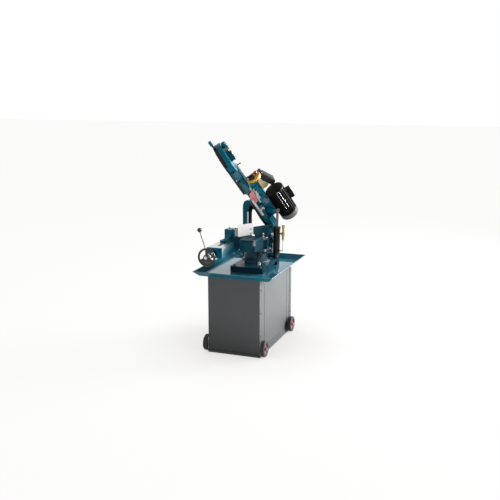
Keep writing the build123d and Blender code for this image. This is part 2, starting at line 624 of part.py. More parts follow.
rear = guide_pads(214, 230) + bow_block(190, 230, 22, 42, PLATE_N1, PLATE_N1 + 10)
rear += bow_block(218, 230, -6, 42, PLATE_N1 - 14, PLATE_N1 + 10)
rear -= bow_disc(*drive_at, RIM_N, PLATE_N1, HOUSE_R)
save(bow * rear, "rear_guide")
bar_n0 = PLATE_N1 + GAP
bar_n1 = bar_n0 + BAR_T
bar = bow_block(BAR_R0, BAR_R1, BAR_W0, BAR_W1, bar_n0, bar_n1)
bar -= bow_block(LOCK_R - 70, LOCK_R + 10, lock_at[1] - SLOT_W / 2, lock_at[1] + SLOT_W / 2, bar_n0, bar_n1)
save(bow * bar, "guide_bar")
shoe_r1 = ARM_R0 + SHOE_LEN
pad_r1 = ARM_R0 + PAD_LEN
front = bow_block(ARM_R0, ARM_R0 + ARM_LEN, -2, BAR_W0, bar_n0, bar_n1)
front += bow_block(ARM_R0, shoe_r1, -12, 16, bar_n0, bar_n1)
front += bow_block(ARM_R0, pad_r1, -8, 8, 12, bar_n0)
front += guide_pads(ARM_R0, pad_r1)
front += to_bow * head_block(ARM_R0, pad_r1, 18, SHIELD_M, -2, 16)
save(bow * front, "front_guide")
shield_r0 = ARM_R0 - PAD_LEN
shield = head_block(shield_r0, shield_r0 + SHIELD_LEN, SHIELD_M, SHIELD_M + 3, SHIELD_H0, SHIELD_H1)
shield = fillet(shield.edges().filter_by(Axis.Y), 10)
save(head * shield, "guide_shield")
hood_r0 = shoe_r1 - HOOD_LAP
hood_r1 = IDLER_R - HOOD_GAP
hood = head_block(hood_r0, hood_r1, -14, 28, -15.5, 18)
hood -= head_block(hood_r0 - 1, hood_r1 + 1, -11.5, 25.5, -13, 19)
tab = to_bow * head_block(hood_r0 + 4, shoe_r1, 16, 28, 8, 40)
tab -= bow_block(hood_r0, shoe_r1 + 1, -40, 60, bar_n0, 60)
save(bow * (to_bow * hood + tab), "blade_guard")
nest = head_block(NEST_R0, NEST_R1, -18, 32, -20, 24)
nest -= head_block(NEST_R0 - 1, NEST_R1 + 1, -15.5, 29.5, -17.5, 25)
nest = to_bow * nest + bow_block(NEST_R1 - 28, NEST_R1, -10, 46, PLATE_N1, PLATE_N1 + 3)
nest -= bow_disc(*idler_at, COVER_N - 1, PLATE_N1, HOUSE_R)
nest = nest.solids().sort_by(SortBy.VOLUME)[-1]
save(bow * nest, "blade_shield")
lock = bow_disc(*lock_at, PLATE_N0 + 2, bar_n1 + GAP, 4.5) + bow_disc(*lock_at, bar_n1 + GAP, bar_n1 + 16, 12)
handle = Pos(-LOCK_R, lock_at[1], bar_n1 + 10) * Rot(0, 0, 60)
lock += handle * rod_x(0, 72, 0, 0, 5) + handle * Pos(76, 0, 0) * Sphere(9)
save(bow * lock, "guide_lock")

# Idler axle block with the tension bracket, and the tension knob with its screw
tension = bow_disc(*idler_at, -24, PLATE_N1, AXLE_R) + bow_disc(*idler_at, -24, -16 - GAP, 22)
slide_r1 = IDLER_R + SLIDE_HALF
stop_r1 = STOP_R0 + STOP_T
tension += bow_block(IDLER_R - SLIDE_HALF, slide_r1, BAND_R - 26, BAND_R + 26, PLATE_N1, TENSION_N + 16)
tension += bow_block(STOP_R0, stop_r1, BAND_R - 30, BAND_R + 30, PLATE_N1, TENSION_N + 20)
tension += bow_block(slide_r1, STOP_R0, BAND_R - 26, BAND_R - 16, PLATE_N1, TENSION_N - 6)
tension -= rod_x(-stop_r1 - 1, -slide_r1 + 14, BAND_R, TENSION_N, TENSION_R + FIT)
save(bow * tension, "tension_bracket")
grip = Plane.XY * Polygon((0, 0), (22, 0), (22, 14), (18, 20), (18, 28), (13, 34), (0, 34), align=None)
grip = Pos(-stop_r1 - GAP, BAND_R, TENSION_N) * Rot(0, 0, 90) * revolve(grip, Axis.Y)
save(bow * (grip + rod_x(-stop_r1 - 2, -slide_r1 + 8, BAND_R, TENSION_N, TENSION_R)), "tension_knob")

# Feed cylinder: tube with eye, brass valve with pipe, rod with piston
eye_x = -(EYE_R * math.cos(math.radians(TILT_REST)) - EYE_H * math.sin(math.radians(TILT_REST)))
eye_z = EYE_R * math.sin(math.radians(TILT_REST)) + EYE_H * math.cos(math.radians(TILT_REST))
lean_x = eye_x + CYL_BACK
rise_z = eye_z + CYL_DROP
cyl_len = math.hypot(lean_x, rise_z)
cyl_lean = math.degrees(math.atan2(lean_x, rise_z))
cylinder = swivel * Pos(pin_x, -CYL_M, pin_z) * Rot(0, cyl_lean, 0)
tube = rod_z(26, CYL_LEN, 0, 0, CYL_R) + rod_z(CYL_LEN - 16, CYL_LEN, 0, 0, CYL_R + 2)
tube += rod_y(-12, 12, 0, 0, 20) + block(-14, 14, -12, 12, 0, 30)
tube += rod_y(-CYL_R - 6, -CYL_R + 4, 0, PORT_Z, 8)
tube -= rod_z(34, CYL_LEN - 10, 0, 0, CYL_BORE)
tube -= rod_z(34, CYL_LEN + 1, 0, 0, ROD_R + FIT)
tube -= rod_y(-13, 13, 0, 0, CYL_PIN_R + FIT)
save(cylinder * tube, "cylinder_tube")
valve = rod_z(VALVE_Z0, VALVE_Z1, 0, VALVE_Y, VALVE_R)
valve += rod_z(VALVE_Z0 + 24, VALVE_Z0 + 52, 0, VALVE_Y, VALVE_R + 4)
valve += rod_y(VALVE_Y, -CYL_R + 4, 0, VALVE_Z0 + 38, 6) - rod_z(VALVE_Z0, VALVE_Z1, 0, 0, CYL_R)
valve -= rod_z(VALVE_Z1 - 20, VALVE_Z1 + 1, 0, VALVE_Y, 4 + FIT)
save(cylinder * valve, "valve_block")
turn = rod_z(VALVE_Z1 + GAP, VALVE_Z1 + 18, 0, VALVE_Y, VALVE_R + 3)
turn += rod_z(VALVE_Z1 - 16, VALVE_Z1 + 1, 0, VALVE_Y, 4)
save(cylinder * turn, "valve_knob")
bend_z = PORT_Z + PIPE_BEND
bend_y = VALVE_Y + PIPE_BEND
drop = Line((0, VALVE_Y, VALVE_Z0), (0, VALVE_Y, bend_z))
arc = TangentArc((0, VALVE_Y, bend_z), (0, bend_y, PORT_Z), tangent=(0, 0, -1))
feed = Line((0, bend_y, PORT_Z), (0, -CYL_R - 6, PORT_Z))
pipe_end = Plane(origin=(0, VALVE_Y, VALVE_Z0), z_dir=(0, 0, -1))
pipe = sweep(pipe_end * Circle(PIPE_R), path=Wire([drop, arc, feed]))
save(cylinder * pipe, "feed_pipe")
piston = rod_z(150, cyl_len, 0, 0, ROD_R) + rod_z(196, 216, 0, 0, CYL_BORE - GAP)
piston += rod_y(-8, 8, 0, cyl_len, 16)
piston -= rod_y(-9, 9, 0, cyl_len, 7)
save(cylinder * piston, "piston_rod")
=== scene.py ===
import json
import math
import bmesh
import bpy
from mathutils import Matrix, Vector


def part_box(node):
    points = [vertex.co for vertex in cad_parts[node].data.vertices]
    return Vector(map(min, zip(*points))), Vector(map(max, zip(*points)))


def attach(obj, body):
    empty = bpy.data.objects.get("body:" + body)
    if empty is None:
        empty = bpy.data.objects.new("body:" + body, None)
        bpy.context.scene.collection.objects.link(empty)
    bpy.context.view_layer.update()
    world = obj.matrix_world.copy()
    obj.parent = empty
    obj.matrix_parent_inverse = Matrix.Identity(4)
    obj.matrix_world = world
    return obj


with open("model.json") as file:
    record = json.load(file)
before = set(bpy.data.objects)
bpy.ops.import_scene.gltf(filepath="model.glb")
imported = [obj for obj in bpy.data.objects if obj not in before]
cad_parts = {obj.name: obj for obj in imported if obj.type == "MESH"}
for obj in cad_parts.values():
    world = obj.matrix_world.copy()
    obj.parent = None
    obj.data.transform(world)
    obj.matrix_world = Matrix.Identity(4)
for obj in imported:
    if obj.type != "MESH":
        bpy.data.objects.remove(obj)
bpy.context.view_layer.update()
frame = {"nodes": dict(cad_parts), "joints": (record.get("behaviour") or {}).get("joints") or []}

nodes = frame["nodes"]
joints = {joint["name"]: joint for joint in frame["joints"]}


# Cabinet stand: folded sheet steel with a fine orange-peel powder coat in dark grey.
# The long sides are set-back panels with sealed seams, screwed behind the folded corner
# posts, and a rolled rail stiffens the foot of each end.
def uneven_finish(name, tones, edges, sheen):
    """Finish whose colour drifts between two tones and whose roughness between two limits."""
    mat = bpy.data.materials.new(name)
    mat.use_nodes = True
    tree = mat.node_tree
    shader = tree.nodes["Principled BSDF"]
    place = tree.nodes.new("ShaderNodeTexCoord")
    drift = tree.nodes.new("ShaderNodeTexNoise")
    tint = tree.nodes.new("ShaderNodeValToRGB")
    for stop, edge, tone in zip(tint.color_ramp.elements, edges, tones):
        stop.position = edge
        stop.color = (*tone, 1)
    wear = tree.nodes.new("ShaderNodeMapRange")
    wear.inputs["To Min"].default_value = sheen[0]
    wear.inputs["To Max"].default_value = min(1.0, sheen[1])
    bump = tree.nodes.new("ShaderNodeBump")
    link = tree.links.new
    link(drift.outputs["Fac"], tint.inputs["Fac"])
    link(tint.outputs["Color"], shader.inputs["Base Color"])
    link(drift.outputs["Fac"], wear.inputs["Value"])
    link(wear.outputs["Result"], shader.inputs["Roughness"])
    link(bump.outputs["Normal"], shader.inputs["Normal"])
    return mat, place, drift, bump


def sprayed_paint(name, colour, rough, patchy, peel, shine=0.5):
    """Paint: patchy tint at hand scale, gloss worn unevenly, and a fine orange-peel skin."""
    tones = [[min(1, c * (1 + shift)) for c in colour] for shift in (-patchy, patchy)]
    mat, place, patches, bump = uneven_finish(name, tones, (0.3, 0.7), (rough * 0.75, rough * 1.3))
    tree = mat.node_tree
    tree.nodes["Principled BSDF"].inputs["Specular IOR Level"].default_value = shine
    patches.inputs["Scale"].default_value = 7.0
    patches.inputs["Detail"].default_value = 8.0
    skin = tree.nodes.new("ShaderNodeTexNoise")
    skin.inputs["Scale"].default_value = 420.0
    bump.inputs["Strength"].default_value = peel
    bump.inputs["Distance"].default_value = 0.0006
    tree.links.new(place.outputs["Object"], patches.inputs["Vector"])
    tree.links.new(place.outputs["Object"], skin.inputs["Vector"])
    tree.links.new(skin.outputs["Fac"], bump.inputs["Height"])
    return mat


def graded_coat(mat, way, start, end, colour):
    """Second tint that grows along one direction: a darker cabinet foot, a painted reflection on the vise
    bed.
    """
    tree = mat.node_tree
    along = tree.nodes.new("ShaderNodeVectorMath")
    along.operation = "DOT_PRODUCT"
    along.inputs[1].default_value = way
    spread = tree.nodes.new("ShaderNodeMapRange")
    spread.inputs["From Min"].default_value = start
    spread.inputs["From Max"].default_value = end
    coat = tree.nodes.new("ShaderNodeMix")
    coat.data_type = "RGBA"
    coat.inputs["B"].default_value = (*colour, 1)
    link = tree.links.new
    link(tree.nodes["Texture Coordinate"].outputs["Object"], along.inputs[0])
    link(along.outputs["Value"], spread.inputs["Value"])
    link(spread.outputs["Result"], coat.inputs["Factor"])
    link(tree.nodes["Color Ramp"].outputs["Color"], coat.inputs["A"])
    link(coat.outputs["Result"], tree.nodes["Principled BSDF"].inputs["Base Color"])


def finish_node(name, mat):
    """Gives a solid its finish, with round faces shaded smooth and folds kept crisp."""
    mesh = nodes[name].data
    mesh.materials.clear()
    mesh.materials.append(mat)
    mesh.shade_smooth()
    mesh.set_sharp_from_angle(angle=math.radians(28))


def fit_piece(piece, mat, body):
    """Paints an added piece and fixes it to the body it is mounted on."""
    bpy.context.collection.objects.link(piece)
    piece.data.materials.append(mat)
    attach(piece, body)


def rolled_bar(name, points, mat, body, radius, closed=False):
    """Round bar or rolled edge along a line of points."""
    line = bpy.data.curves.new(name, "CURVE")
    line.dimensions = "3D"
    line.bevel_depth = radius
    line.bevel_resolution = 3
    line.use_fill_caps = not closed
    run = line.splines.new("POLY")
    run.points.add(len(points) - 1)
    for point, spot in zip(run.points, points):
        point.co = (*spot, 1)
    run.use_cyclic_u = closed
    fit_piece(bpy.data.objects.new(name, line), mat, body)


def around(x, y, radius, a):
    """Spot on a circle about x and y, at the angle a."""
    return x + radius * math.cos(a), y + radius * math.sin(a)


def turned(bm, profile, place, sides=28):
    """Closed lathe shape: profile gives (radius, height) from axis to axis along place's Z."""
    rings = []
    for radius, height in profile:
        turns = [math.tau * k / sides for k in range(sides)] if radius else [0.0]
        spots = [Vector((*around(0, 0, radius, a), height)) for a in turns]
        rings.append([bm.verts.new(place @ spot) for spot in spots])
    for low, high in zip(rings, rings[1:]):
        for k in range(sides):
            after = (k + 1) % sides
            ring = [low[k % len(low)], low[after % len(low)],
                    high[after % len(high)], high[k % len(high)]]
            bm.faces.new(list(dict.fromkeys(ring)))


def facing(spot, outward):
    """Place on a surface with Z along its outward direction."""
    return Matrix.Translation(spot) @ Vector(outward).to_track_quat("Z", "Y").to_matrix().to_4x4()


def made(name, bm, mat, body):
    """Turns a finished shape into a piece of the machine."""
    mesh = bpy.data.meshes.new(name)
    bmesh.ops.recalc_face_normals(bm, faces=bm.faces)
    bm.to_mesh(mesh)
    bm.free()
    mesh.shade_smooth()
    mesh.set_sharp_from_angle(angle=math.radians(35))
    fit_piece(bpy.data.objects.new(name, mesh), mat, body)


SEATED = 0.0003


def socket_screws(name, spots, outward, mat, body, radius):
    """Round screw heads with a sunk drive, at each spot, seated a hair deep."""
    head = 0.8 * radius
    profile = [(0, -SEATED), (radius, -SEATED), (radius, 0.8 * head), (0.86 * radius, head),
               (0.5 * radius, head), (0.46 * radius, 0.45 * head), (0, 0.45 * head)]
    bm = bmesh.new()
    for spot in spots:
        turned(bm, profile, facing(spot, outward), 18)
    made(name, bm, mat, body)


def slab(bm, size, place, edge=0.0):
    """Flat plate or bar, with its edges eased where edge says how far."""
    block = bmesh.ops.create_cube(bm, size=1.0, matrix=place @ Matrix.Diagonal((*size, 1)))["verts"]
    if edge:
        edges = list({e for v in block for e in v.link_edges})
        bmesh.ops.bevel(bm, geom=edges, offset=edge, segments=2, profile=0.5, affect="EDGES")


cabinet_grey = sprayed_paint("cabinet_grey", (0.092, 0.1, 0.102),
                             rough=0.42, patchy=0.05, peel=0.12, shine=0.3)
screw_black = sprayed_paint("screw_black", (0.02, 0.02, 0.022), rough=0.35, patchy=0.2, peel=0.1)
# The cabinet's grey is graded darker towards the foot, from 30 cm up down to 2 cm.
FOOT_DARKEN_FROM = 0.30
FOOT_DARKEN_TO = 0.02
FOOT_DARKER_GREY = (0.061, 0.066, 0.067)
graded_coat(cabinet_grey, (0, 0, -1), -FOOT_DARKEN_FROM, -FOOT_DARKEN_TO, FOOT_DARKER_GREY)
finish_node("cabinet", cabinet_grey)
cab_low, cab_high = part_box("cabinet")
RAIL_R = 0.009
RAIL_Z = 0.011
RAIL_END = 0.012
rail_y = cab_high.y - RAIL_END
for end, rail_x in (("near", cab_low.x), ("far", cab_high.x)):
    rail_line = [(rail_x, -rail_y, RAIL_Z), (rail_x, rail_y, RAIL_Z)]
    rolled_bar(f"foot_rail_{end}", rail_line, cabinet_grey, "stand", RAIL_R)
POST_INSET = 0.028
POST_FACE = 0.2085
PANEL_SCREW_Z = (0.16, 0.34, 0.52)
SEAM_X = 0.276
SEAM_FACE = 0.2055
SEAM_MID = 0.2985
SEAM_SIZE = (0.006, 0.0016, 0.499)
for side, way in (("front", -1), ("back", 1)):
    panel_spots = [(x, way * POST_FACE, z) for x in (cab_low.x + POST_INSET, cab_high.x - POST_INSET)
                   for z in PANEL_SCREW_Z]
    socket_screws(f"panel_screws_{side}", panel_spots, (0, way, 0), screw_black, "stand",
                  radius=0.0045)
    seams = bmesh.new()
    for x in (-SEAM_X, SEAM_X):
        slab(seams, SEAM_SIZE, Matrix.Translation((x, way * SEAM_FACE, SEAM_MID)))
    made(f"panel_seams_{side}", seams, screw_black, "stand")


# Road wheels: black rubber tyres pressed on red steel hubs, turning on stub axles.
# The axle brackets are bent plate, zinc plated and screwed to the cabinet sides.
def worked_metal(name, colour, rough, lines, metal=1.0):
    """Bare machined metal: tool marks as noise stretched along one direction, uneven sheen."""
    tones = [[min(1, c * depth) for c in colour] for depth in (0.78, 1.15)]
    mat, place, marks, bump = uneven_finish(name, tones, (0.25, 0.75), (rough * 0.7, rough * 1.4))
    tree = mat.node_tree
    tree.nodes["Principled BSDF"].inputs["Metallic"].default_value = metal
    stretch = tree.nodes.new("ShaderNodeMapping")
    stretch.inputs["Scale"].default_value = lines
    marks.inputs["Scale"].default_value = 30.0
    marks.inputs["Detail"].default_value = 5.0
    bump.inputs["Strength"].default_value = 0.12
    bump.inputs["Distance"].default_value = 0.0004
    tree.links.new(place.outputs["Object"], stretch.inputs["Vector"])
    tree.links.new(stretch.outputs["Vector"], marks.inputs["Vector"])
    tree.links.new(marks.outputs["Fac"], bump.inputs["Height"])
    return mat


tyre_rubber = sprayed_paint("tyre_rubber", (0.012, 0.012, 0.013), rough=0.6, patchy=0.25, peel=0.5)
hub_red = sprayed_paint("hub_red", (0.4, 0.06, 0.07), rough=0.35, patchy=0.1, peel=0.15)
zinc_plate = worked_metal("zinc_plate", (0.3, 0.31, 0.32), rough=0.4, lines=(1, 1, 6))
finish_node("wheel_brackets", zinc_plate)
for end in ("near", "far"):
    for side in ("front", "back"):
        finish_node(f"tyre_{end}_{side}", tyre_rubber)
        finish_node(f"road_hub_{end}_{side}", hub_red)


# Tray: folded sheet with a flared rim and a rolled edge, in gloss teal enamel, with painted shade on
# the back wall and the rolled edge painted paler, partly as a painted highlight; it rests on the
# cabinet top, and a film of coolant makes its floor a mirror.
def second_finish(name, mat, chosen):
    """Another finish on the faces of a solid that chosen picks out."""
    mesh = nodes[name].data
    mesh.materials.append(mat)
    for face in mesh.polygons:
        if chosen(face):
            face.material_index = len(mesh.materials) - 1


tray_enamel = sprayed_paint("tray_enamel", (0.001, 0.125, 0.19),
                            rough=0.1, patchy=0.05, peel=0.01, shine=0.15)
# Painted shade: a darker teal on the inner face of the back wall.
wall_painted_shade = sprayed_paint("wall_painted_shade", (0.001, 0.055, 0.085),
                            rough=0.2, patchy=0.05, peel=0.01, shine=0.03)
coolant_film = sprayed_paint("coolant_film", (0.02, 0.14, 0.2),
                             rough=0.06, patchy=0.05, peel=0.01, shine=1.0)
# The rolled edge is a paler, greyer teal than the tray, partly a painted highlight.
edge_highlight_enamel = sprayed_paint("edge_highlight_enamel", (0.05, 0.16, 0.21), rough=0.4, patchy=0.05, peel=0.05)
finish_node("tray", tray_enamel)
second_finish("tray", wall_painted_shade, lambda face: face.normal.y < -0.3 and face.center.y > 0)
second_finish("tray", coolant_film, lambda face: face.normal.z > 0.95)
tray_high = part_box("tray")[1]
EDGE_R = 0.0034
EDGE_IN = 0.002
EDGE_BEND = 0.005
EDGE_STEPS = 4
edge_line = []
for quarter, (side_x, side_y) in enumerate(((1, 1), (-1, 1), (-1, -1), (1, -1))):
    bend_x = side_x * (tray_high.x - EDGE_IN - EDGE_BEND)
    bend_y = side_y * (tray_high.y - EDGE_IN - EDGE_BEND)
    for k in range(EDGE_STEPS + 1):
        a = math.radians(90 * (quarter + k / EDGE_STEPS))
        edge_line.append((*around(bend_x, bend_y, EDGE_BEND, a), tray_high.z))
rolled_bar("tray_rolled_edge", edge_line, edge_highlight_enamel, "stand", EDGE_R, closed=True)


# Base block and king post: iron casting under dark teal paint, with painted shade in a deeper teal on
# its front side, bolted down in the tray with bright hexagon bolts beside the ring and black cap screws
# at the corners.
def hex_bolts(name, spots, outward, mat, body, across, proud):
    """Hexagon heads on washers, at each spot; across is the spanner size."""
    washer = 0.12 * across
    ring = [(0, -SEATED), (0.66 * across, -SEATED), (0.66 * across, washer), (0, washer)]
    head = [(0, 0.5 * washer), (0.577 * across, 0.5 * washer), (0.577 * across, 0.86 * proud),
            (0.48 * across, proud), (0, proud)]
    bm = bmesh.new()
    for spot in spots:
        place = facing(spot, outward)
        turned(bm, ring, place, 24)
        turned(bm, head, place, 6)
    made(name, bm, mat, body)


def painted_shade_side(face):
    """True for a face that looks to the operator's side, where the base and table get painted shade."""
    return face.normal.y < -0.6


dark_teal = sprayed_paint("dark_teal", (0.002, 0.038, 0.062),
                          rough=0.28, patchy=0.12, peel=0.15, shine=0.15)
# Painted shade: a deeper teal for the faces of the base block and vise table that look to the operator's
# side.
painted_shade_teal = sprayed_paint("painted_shade_teal", (0.001, 0.024, 0.038),
                          rough=0.4, patchy=0.12, peel=0.15, shine=0.03)
bright_steel = worked_metal("bright_steel", (0.62, 0.63, 0.64), rough=0.26, lines=(1, 8, 1))
finish_node("base_block", dark_teal)
second_finish("base_block", painted_shade_teal, painted_shade_side)
finish_node("king_post", bright_steel)
base_low, base_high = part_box("base_block")
king = Vector(joints["head_swivel"]["pos_m"])
BOLT_X = 0.113
BOLT_Y = 0.064
ring_bolts = [(king.x + dx, king.y + dy, base_high.z) for dx in (-BOLT_X, BOLT_X)
              for dy in (-BOLT_Y, BOLT_Y)]
hex_bolts("base_bolts", ring_bolts, (0, 0, 1), bright_steel, "stand",
          across=0.019, proud=0.016)
CORNER_IN = 0.03
base_corners = [(x, y, base_high.z) for x in (base_low.x + CORNER_IN, base_high.x - CORNER_IN)
                for y in (base_low.y + CORNER_IN, base_high.y - CORNER_IN)]
socket_screws("base_cap_screws", base_corners, (0, 0, 1), screw_black, "stand",
              radius=0.011)

# Swivel: cast ring and arm in grey-blue paint that turns on the king post. A degree scale is
# cut in its lower rim, nuts hold its upper flange, and a black lever clamps it.
swivel_blue = sprayed_paint("swivel_blue", (0.034, 0.1, 0.14),
                            rough=0.34, patchy=0.15, peel=0.2, shine=0.35)
black_plastic = sprayed_paint("black_plastic", (0.01, 0.01, 0.011), rough=0.25, patchy=0.2, peel=0.08)
mark_white = sprayed_paint("mark_white", (0.7, 0.71, 0.7), rough=0.4, patchy=0.05, peel=0.05)
finish_node("swivel_arm", swivel_blue)
finish_node("swivel_lock", black_plastic)
RING_R = 0.110
mark_z = base_high.z + 0.012
MARK_FROM = 165
MARK_SWEEP = 135
MARK_STEP = 5
MARK_THICK = 0.0006
MARK_WIDE = 0.0014
ring_marks = bmesh.new()
for step in range(0, MARK_SWEEP + 1, MARK_STEP):
    tall = 0.014 if step % 15 == 0 else 0.008
    a = math.radians(MARK_FROM + step)
    spot = (*around(king.x, king.y, RING_R, a), mark_z)
    slab(ring_marks, (MARK_THICK, MARK_WIDE, tall),
         Matrix.Translation(spot) @ Matrix.Rotation(a, 4, "Z"))
made("swivel_degree_marks", ring_marks, mark_white, "swivel")
FLANGE_R = 0.107
flange_z = base_high.z + 0.099
for k, turn in enumerate((162, 184, 238, 262, 290)):
    way = Vector((*around(0, 0, 1, math.radians(turn)), 0))
    spot = Vector((king.x, king.y, flange_z)) + FLANGE_R * way
    hex_bolts(f"ring_nut_{k}", [spot], way, bright_steel, "swivel",
              across=0.013, proud=0.009)

# Guard beside the blade: cast teal bracket, painted a darker teal as painted shade, bolted to the
# column, which has a teal rib under it, with a pale painted sheet plate held by two hexagon screws.
pivot = Vector(joints["head_tilt"]["pos_m"])
back_way = Vector(joints["head_tilt"]["axis"])
front_way = -back_way
level_tip = Vector((0, 0, 1)).cross(back_way)


def by_column(reach, out, high):
    """Point by the column: level from the pivot to the tip, out to the front, and up."""
    return pivot + reach * level_tip + out * front_way + Vector((0, 0, high))


def flat_piece(name, size, place, mat, body, edge=0.0):
    """Piece that is one plate or bar."""
    bm = bmesh.new()
    slab(bm, size, place, edge)
    made(name, bm, mat, body)


pale_paint = sprayed_paint("pale_paint", (0.64, 0.625, 0.615),
                           rough=0.45, patchy=0.03, peel=0.06, shine=0.3)
teal_enamel = sprayed_paint("teal_enamel", (0.001, 0.14, 0.205),
                            rough=0.25, patchy=0.1, peel=0.1, shine=0.12)
# Painted shade: the guard bracket is a darker copy of the head's teal.
bracket_shade_teal = sprayed_paint("bracket_shade_teal", (0.001, 0.04, 0.06),
                             rough=0.3, patchy=0.1, peel=0.1, shine=0.12)
finish_node("guard_bracket", bracket_shade_teal)
finish_node("guard_plate", pale_paint)
PLATE_FRONT = 0.063
PLATE_REACH = 0.276
plate_screws = [by_column(PLATE_REACH, PLATE_FRONT, high) for high in (0.010, 0.044)]
hex_bolts("guard_screws", plate_screws, front_way, bright_steel, "swivel",
          across=0.009, proud=0.006)
BRACKET_FRONT = 0.060
BRACKET_REACH = 0.155
bracket_bolts = [by_column(BRACKET_REACH, BRACKET_FRONT, high) for high in (-0.032, -0.010)]
hex_bolts("guard_bracket_bolts", bracket_bolts, front_way, bright_steel, "swivel",
          across=0.013, proud=0.008)
RIB_SIZE = (0.016, 0.036, 0.112)
RIB_REACH = 0.035
RIB_HIGH = -0.091
rib_turn = Matrix((level_tip, back_way, Vector((0, 0, 1)))).transposed().to_4x4()
rib_place = Matrix.Translation(by_column(RIB_REACH, 0, RIB_HIGH)) @ rib_turn
flat_piece("column_rib", RIB_SIZE, rib_place, teal_enamel, "swivel", edge=0.003)
COLUMN_BOLT_HIGH = -0.028
column_bolts = [by_column(reach, BRACKET_FRONT, COLUMN_BOLT_HIGH) for reach in (0.036, 0.062)]
hex_bolts("guard_column_bolts", column_bolts, front_way, bright_steel, "swivel",
          across=0.021, proud=0.011)


# Vise table: teal casting with painted shade in a deeper teal on its front side, with a blued steel plate
# let into its top.
# An alloy strip with cut marks is bent round its front corner as the angle scale.
def bent_strip(bm, rows, closed=False):
    """Strip bent along a curve: each row gives the corners of one cross-section."""
    rings = [[bm.verts.new(spot) for spot in row] for row in rows]
    for first, second in zip(rings, rings[1:] + rings[:1] if closed else rings[1:]):
        for k in range(len(first)):
            bm.faces.new((first[k - 1], first[k], second[k], second[k - 1]))
    if not closed:
        bm.faces.new(rings[0])
        bm.faces.new(rings[-1][::-1])


plate_steel = sprayed_paint("plate_steel", (0.002, 0.036, 0.052),
                            rough=0.4, patchy=0.2, peel=0.08, shine=0.08)
alloy = worked_metal("alloy", (0.15, 0.16, 0.165), rough=0.55, lines=(1, 1, 6), metal=0.2)
table_teal = sprayed_paint("table_teal", (0.001, 0.066, 0.1),
                           rough=0.3, patchy=0.12, peel=0.12, shine=0.12)
finish_node("vise_table", table_teal)
# Painted shade on the vise table's front side.
second_finish("vise_table", painted_shade_teal, painted_shade_side)
finish_node("table_plate", plate_steel)
top_low, top_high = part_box("table_plate")
PLATE_CORNER = 0.036
SCALE_R = 0.040
SCALE_FACE = SCALE_R + 0.0012
SCALE_FROM = 219
SCALE_SWEEP = 36
SCALE_STEPS = 12
SCALE_MARGIN = 0.004
SCALE_MARK_THICK = 0.0004
SCALE_MARK_WIDE = 0.0008
scale_x = top_low.x + PLATE_CORNER
scale_y = top_low.y + PLATE_CORNER
scale_foot = top_high.z - 0.043
scale_top = top_high.z - 0.001
scale_section = ((SCALE_R - SEATED, scale_foot), (SCALE_FACE, scale_foot),
                 (SCALE_FACE, scale_top), (SCALE_R - SEATED, scale_top))
scale_turns = [math.radians(SCALE_FROM + SCALE_SWEEP * k / SCALE_STEPS) for k in range(SCALE_STEPS + 1)]
scale_strip = bmesh.new()
bent_strip(scale_strip, [[(*around(scale_x, scale_y, radius, a), z) for radius, z in scale_section]
                         for a in scale_turns])
made("angle_scale", scale_strip, alloy, "stand")
scale_marks = bmesh.new()
for k, a in enumerate(scale_turns[1:-1], 1):
    tall = 0.02 if k % 3 == 0 else 0.012
    spot = (*around(scale_x, scale_y, SCALE_FACE, a), scale_top - SCALE_MARGIN - tall / 2)
    slab(scale_marks, (SCALE_MARK_THICK, SCALE_MARK_WIDE, tall),
         Matrix.Translation(spot) @ Matrix.Rotation(a, 4, "Z"))
made("angle_scale_marks", scale_marks, screw_black, "stand")

# Vise bed: teal channel casting, graded pale at its near end as a painted reflection, with ground
# ways on top and a fixed jaw with a ground face. The black bearing tube of the screw stands on a
# teal flange, which four black cap screws hold to the end of the bed.
bed_enamel = sprayed_paint("bed_enamel", (0.006, 0.22, 0.33),
                           rough=0.13, patchy=0.1, peel=0.04, shine=0.9)
finish_node("vise_bed", bed_enamel)
finish_node("screw_bearing", black_plastic)
finish_node("fixed_jaw", teal_enamel)
finish_node("fixed_jaw_plate", bright_steel)
HAIR = 0.001
bed_low, bed_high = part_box("vise_bed")
second_finish("vise_bed", bright_steel,
              lambda face: face.normal.z > 0.9 and face.center.z > bed_high.z - HAIR)
# Painted reflection: the bed's teal is graded pale towards its near top end.
SHEEN_WAY = Vector((-0.6, 0, 2.0))
SHEEN_LENGTH = 0.2
PAINTED_SHEEN_TEAL = (0.55, 0.7, 0.74)
sheen_end = SHEEN_WAY.dot((bed_low.x, 0, bed_high.z))
graded_coat(bed_enamel, SHEEN_WAY, sheen_end - SHEEN_LENGTH, sheen_end, PAINTED_SHEEN_TEAL)
FLANGE_THICK = 0.012
FLANGE_SCREW_Y = 0.046
FLANGE_SCREW_IN = 0.014
bearing_low, bearing_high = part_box("screw_bearing")
bed_y = (bearing_low.y + bearing_high.y) / 2
flange_x = bed_low.x - FLANGE_THICK
second_finish("screw_bearing", teal_enamel, lambda face: face.center.x > flange_x - HAIR)
flange_spots = [(flange_x, bed_y + dy, z) for dy in (-FLANGE_SCREW_Y, FLANGE_SCREW_Y)
                for z in (bearing_low.z + FLANGE_SCREW_IN, bearing_high.z - FLANGE_SCREW_IN)]
socket_screws("bearing_screws", flange_spots, (-1, 0, 0), screw_black, "stand",
              radius=0.0065)
JAW_SCREW_IN = 0.012
JAW_SCREW_Y = 0.026
JAW_SCREW_R = 0.006
fixed_low, fixed_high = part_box("fixed_jaw")
fixed_spots = [(fixed_low.x + JAW_SCREW_IN, bed_y + dy, fixed_high.z)
               for dy in (-JAW_SCREW_Y, JAW_SCREW_Y)]
socket_screws("fixed_jaw_screws", fixed_spots, (0, 0, 1), screw_black, "stand", JAW_SCREW_R)


# Movable jaw and screw: teal jaw with a ground face, bright screw, and a black handwheel with a
# turning handle and a cast balance web; the quick lever is a satin steel rod with a black ball.
def turned_piece(name, profile, place, mat, body):
    """Piece that is one lathe shape."""
    bm = bmesh.new()
    turned(bm, profile, place)
    made(name, bm, mat, body)


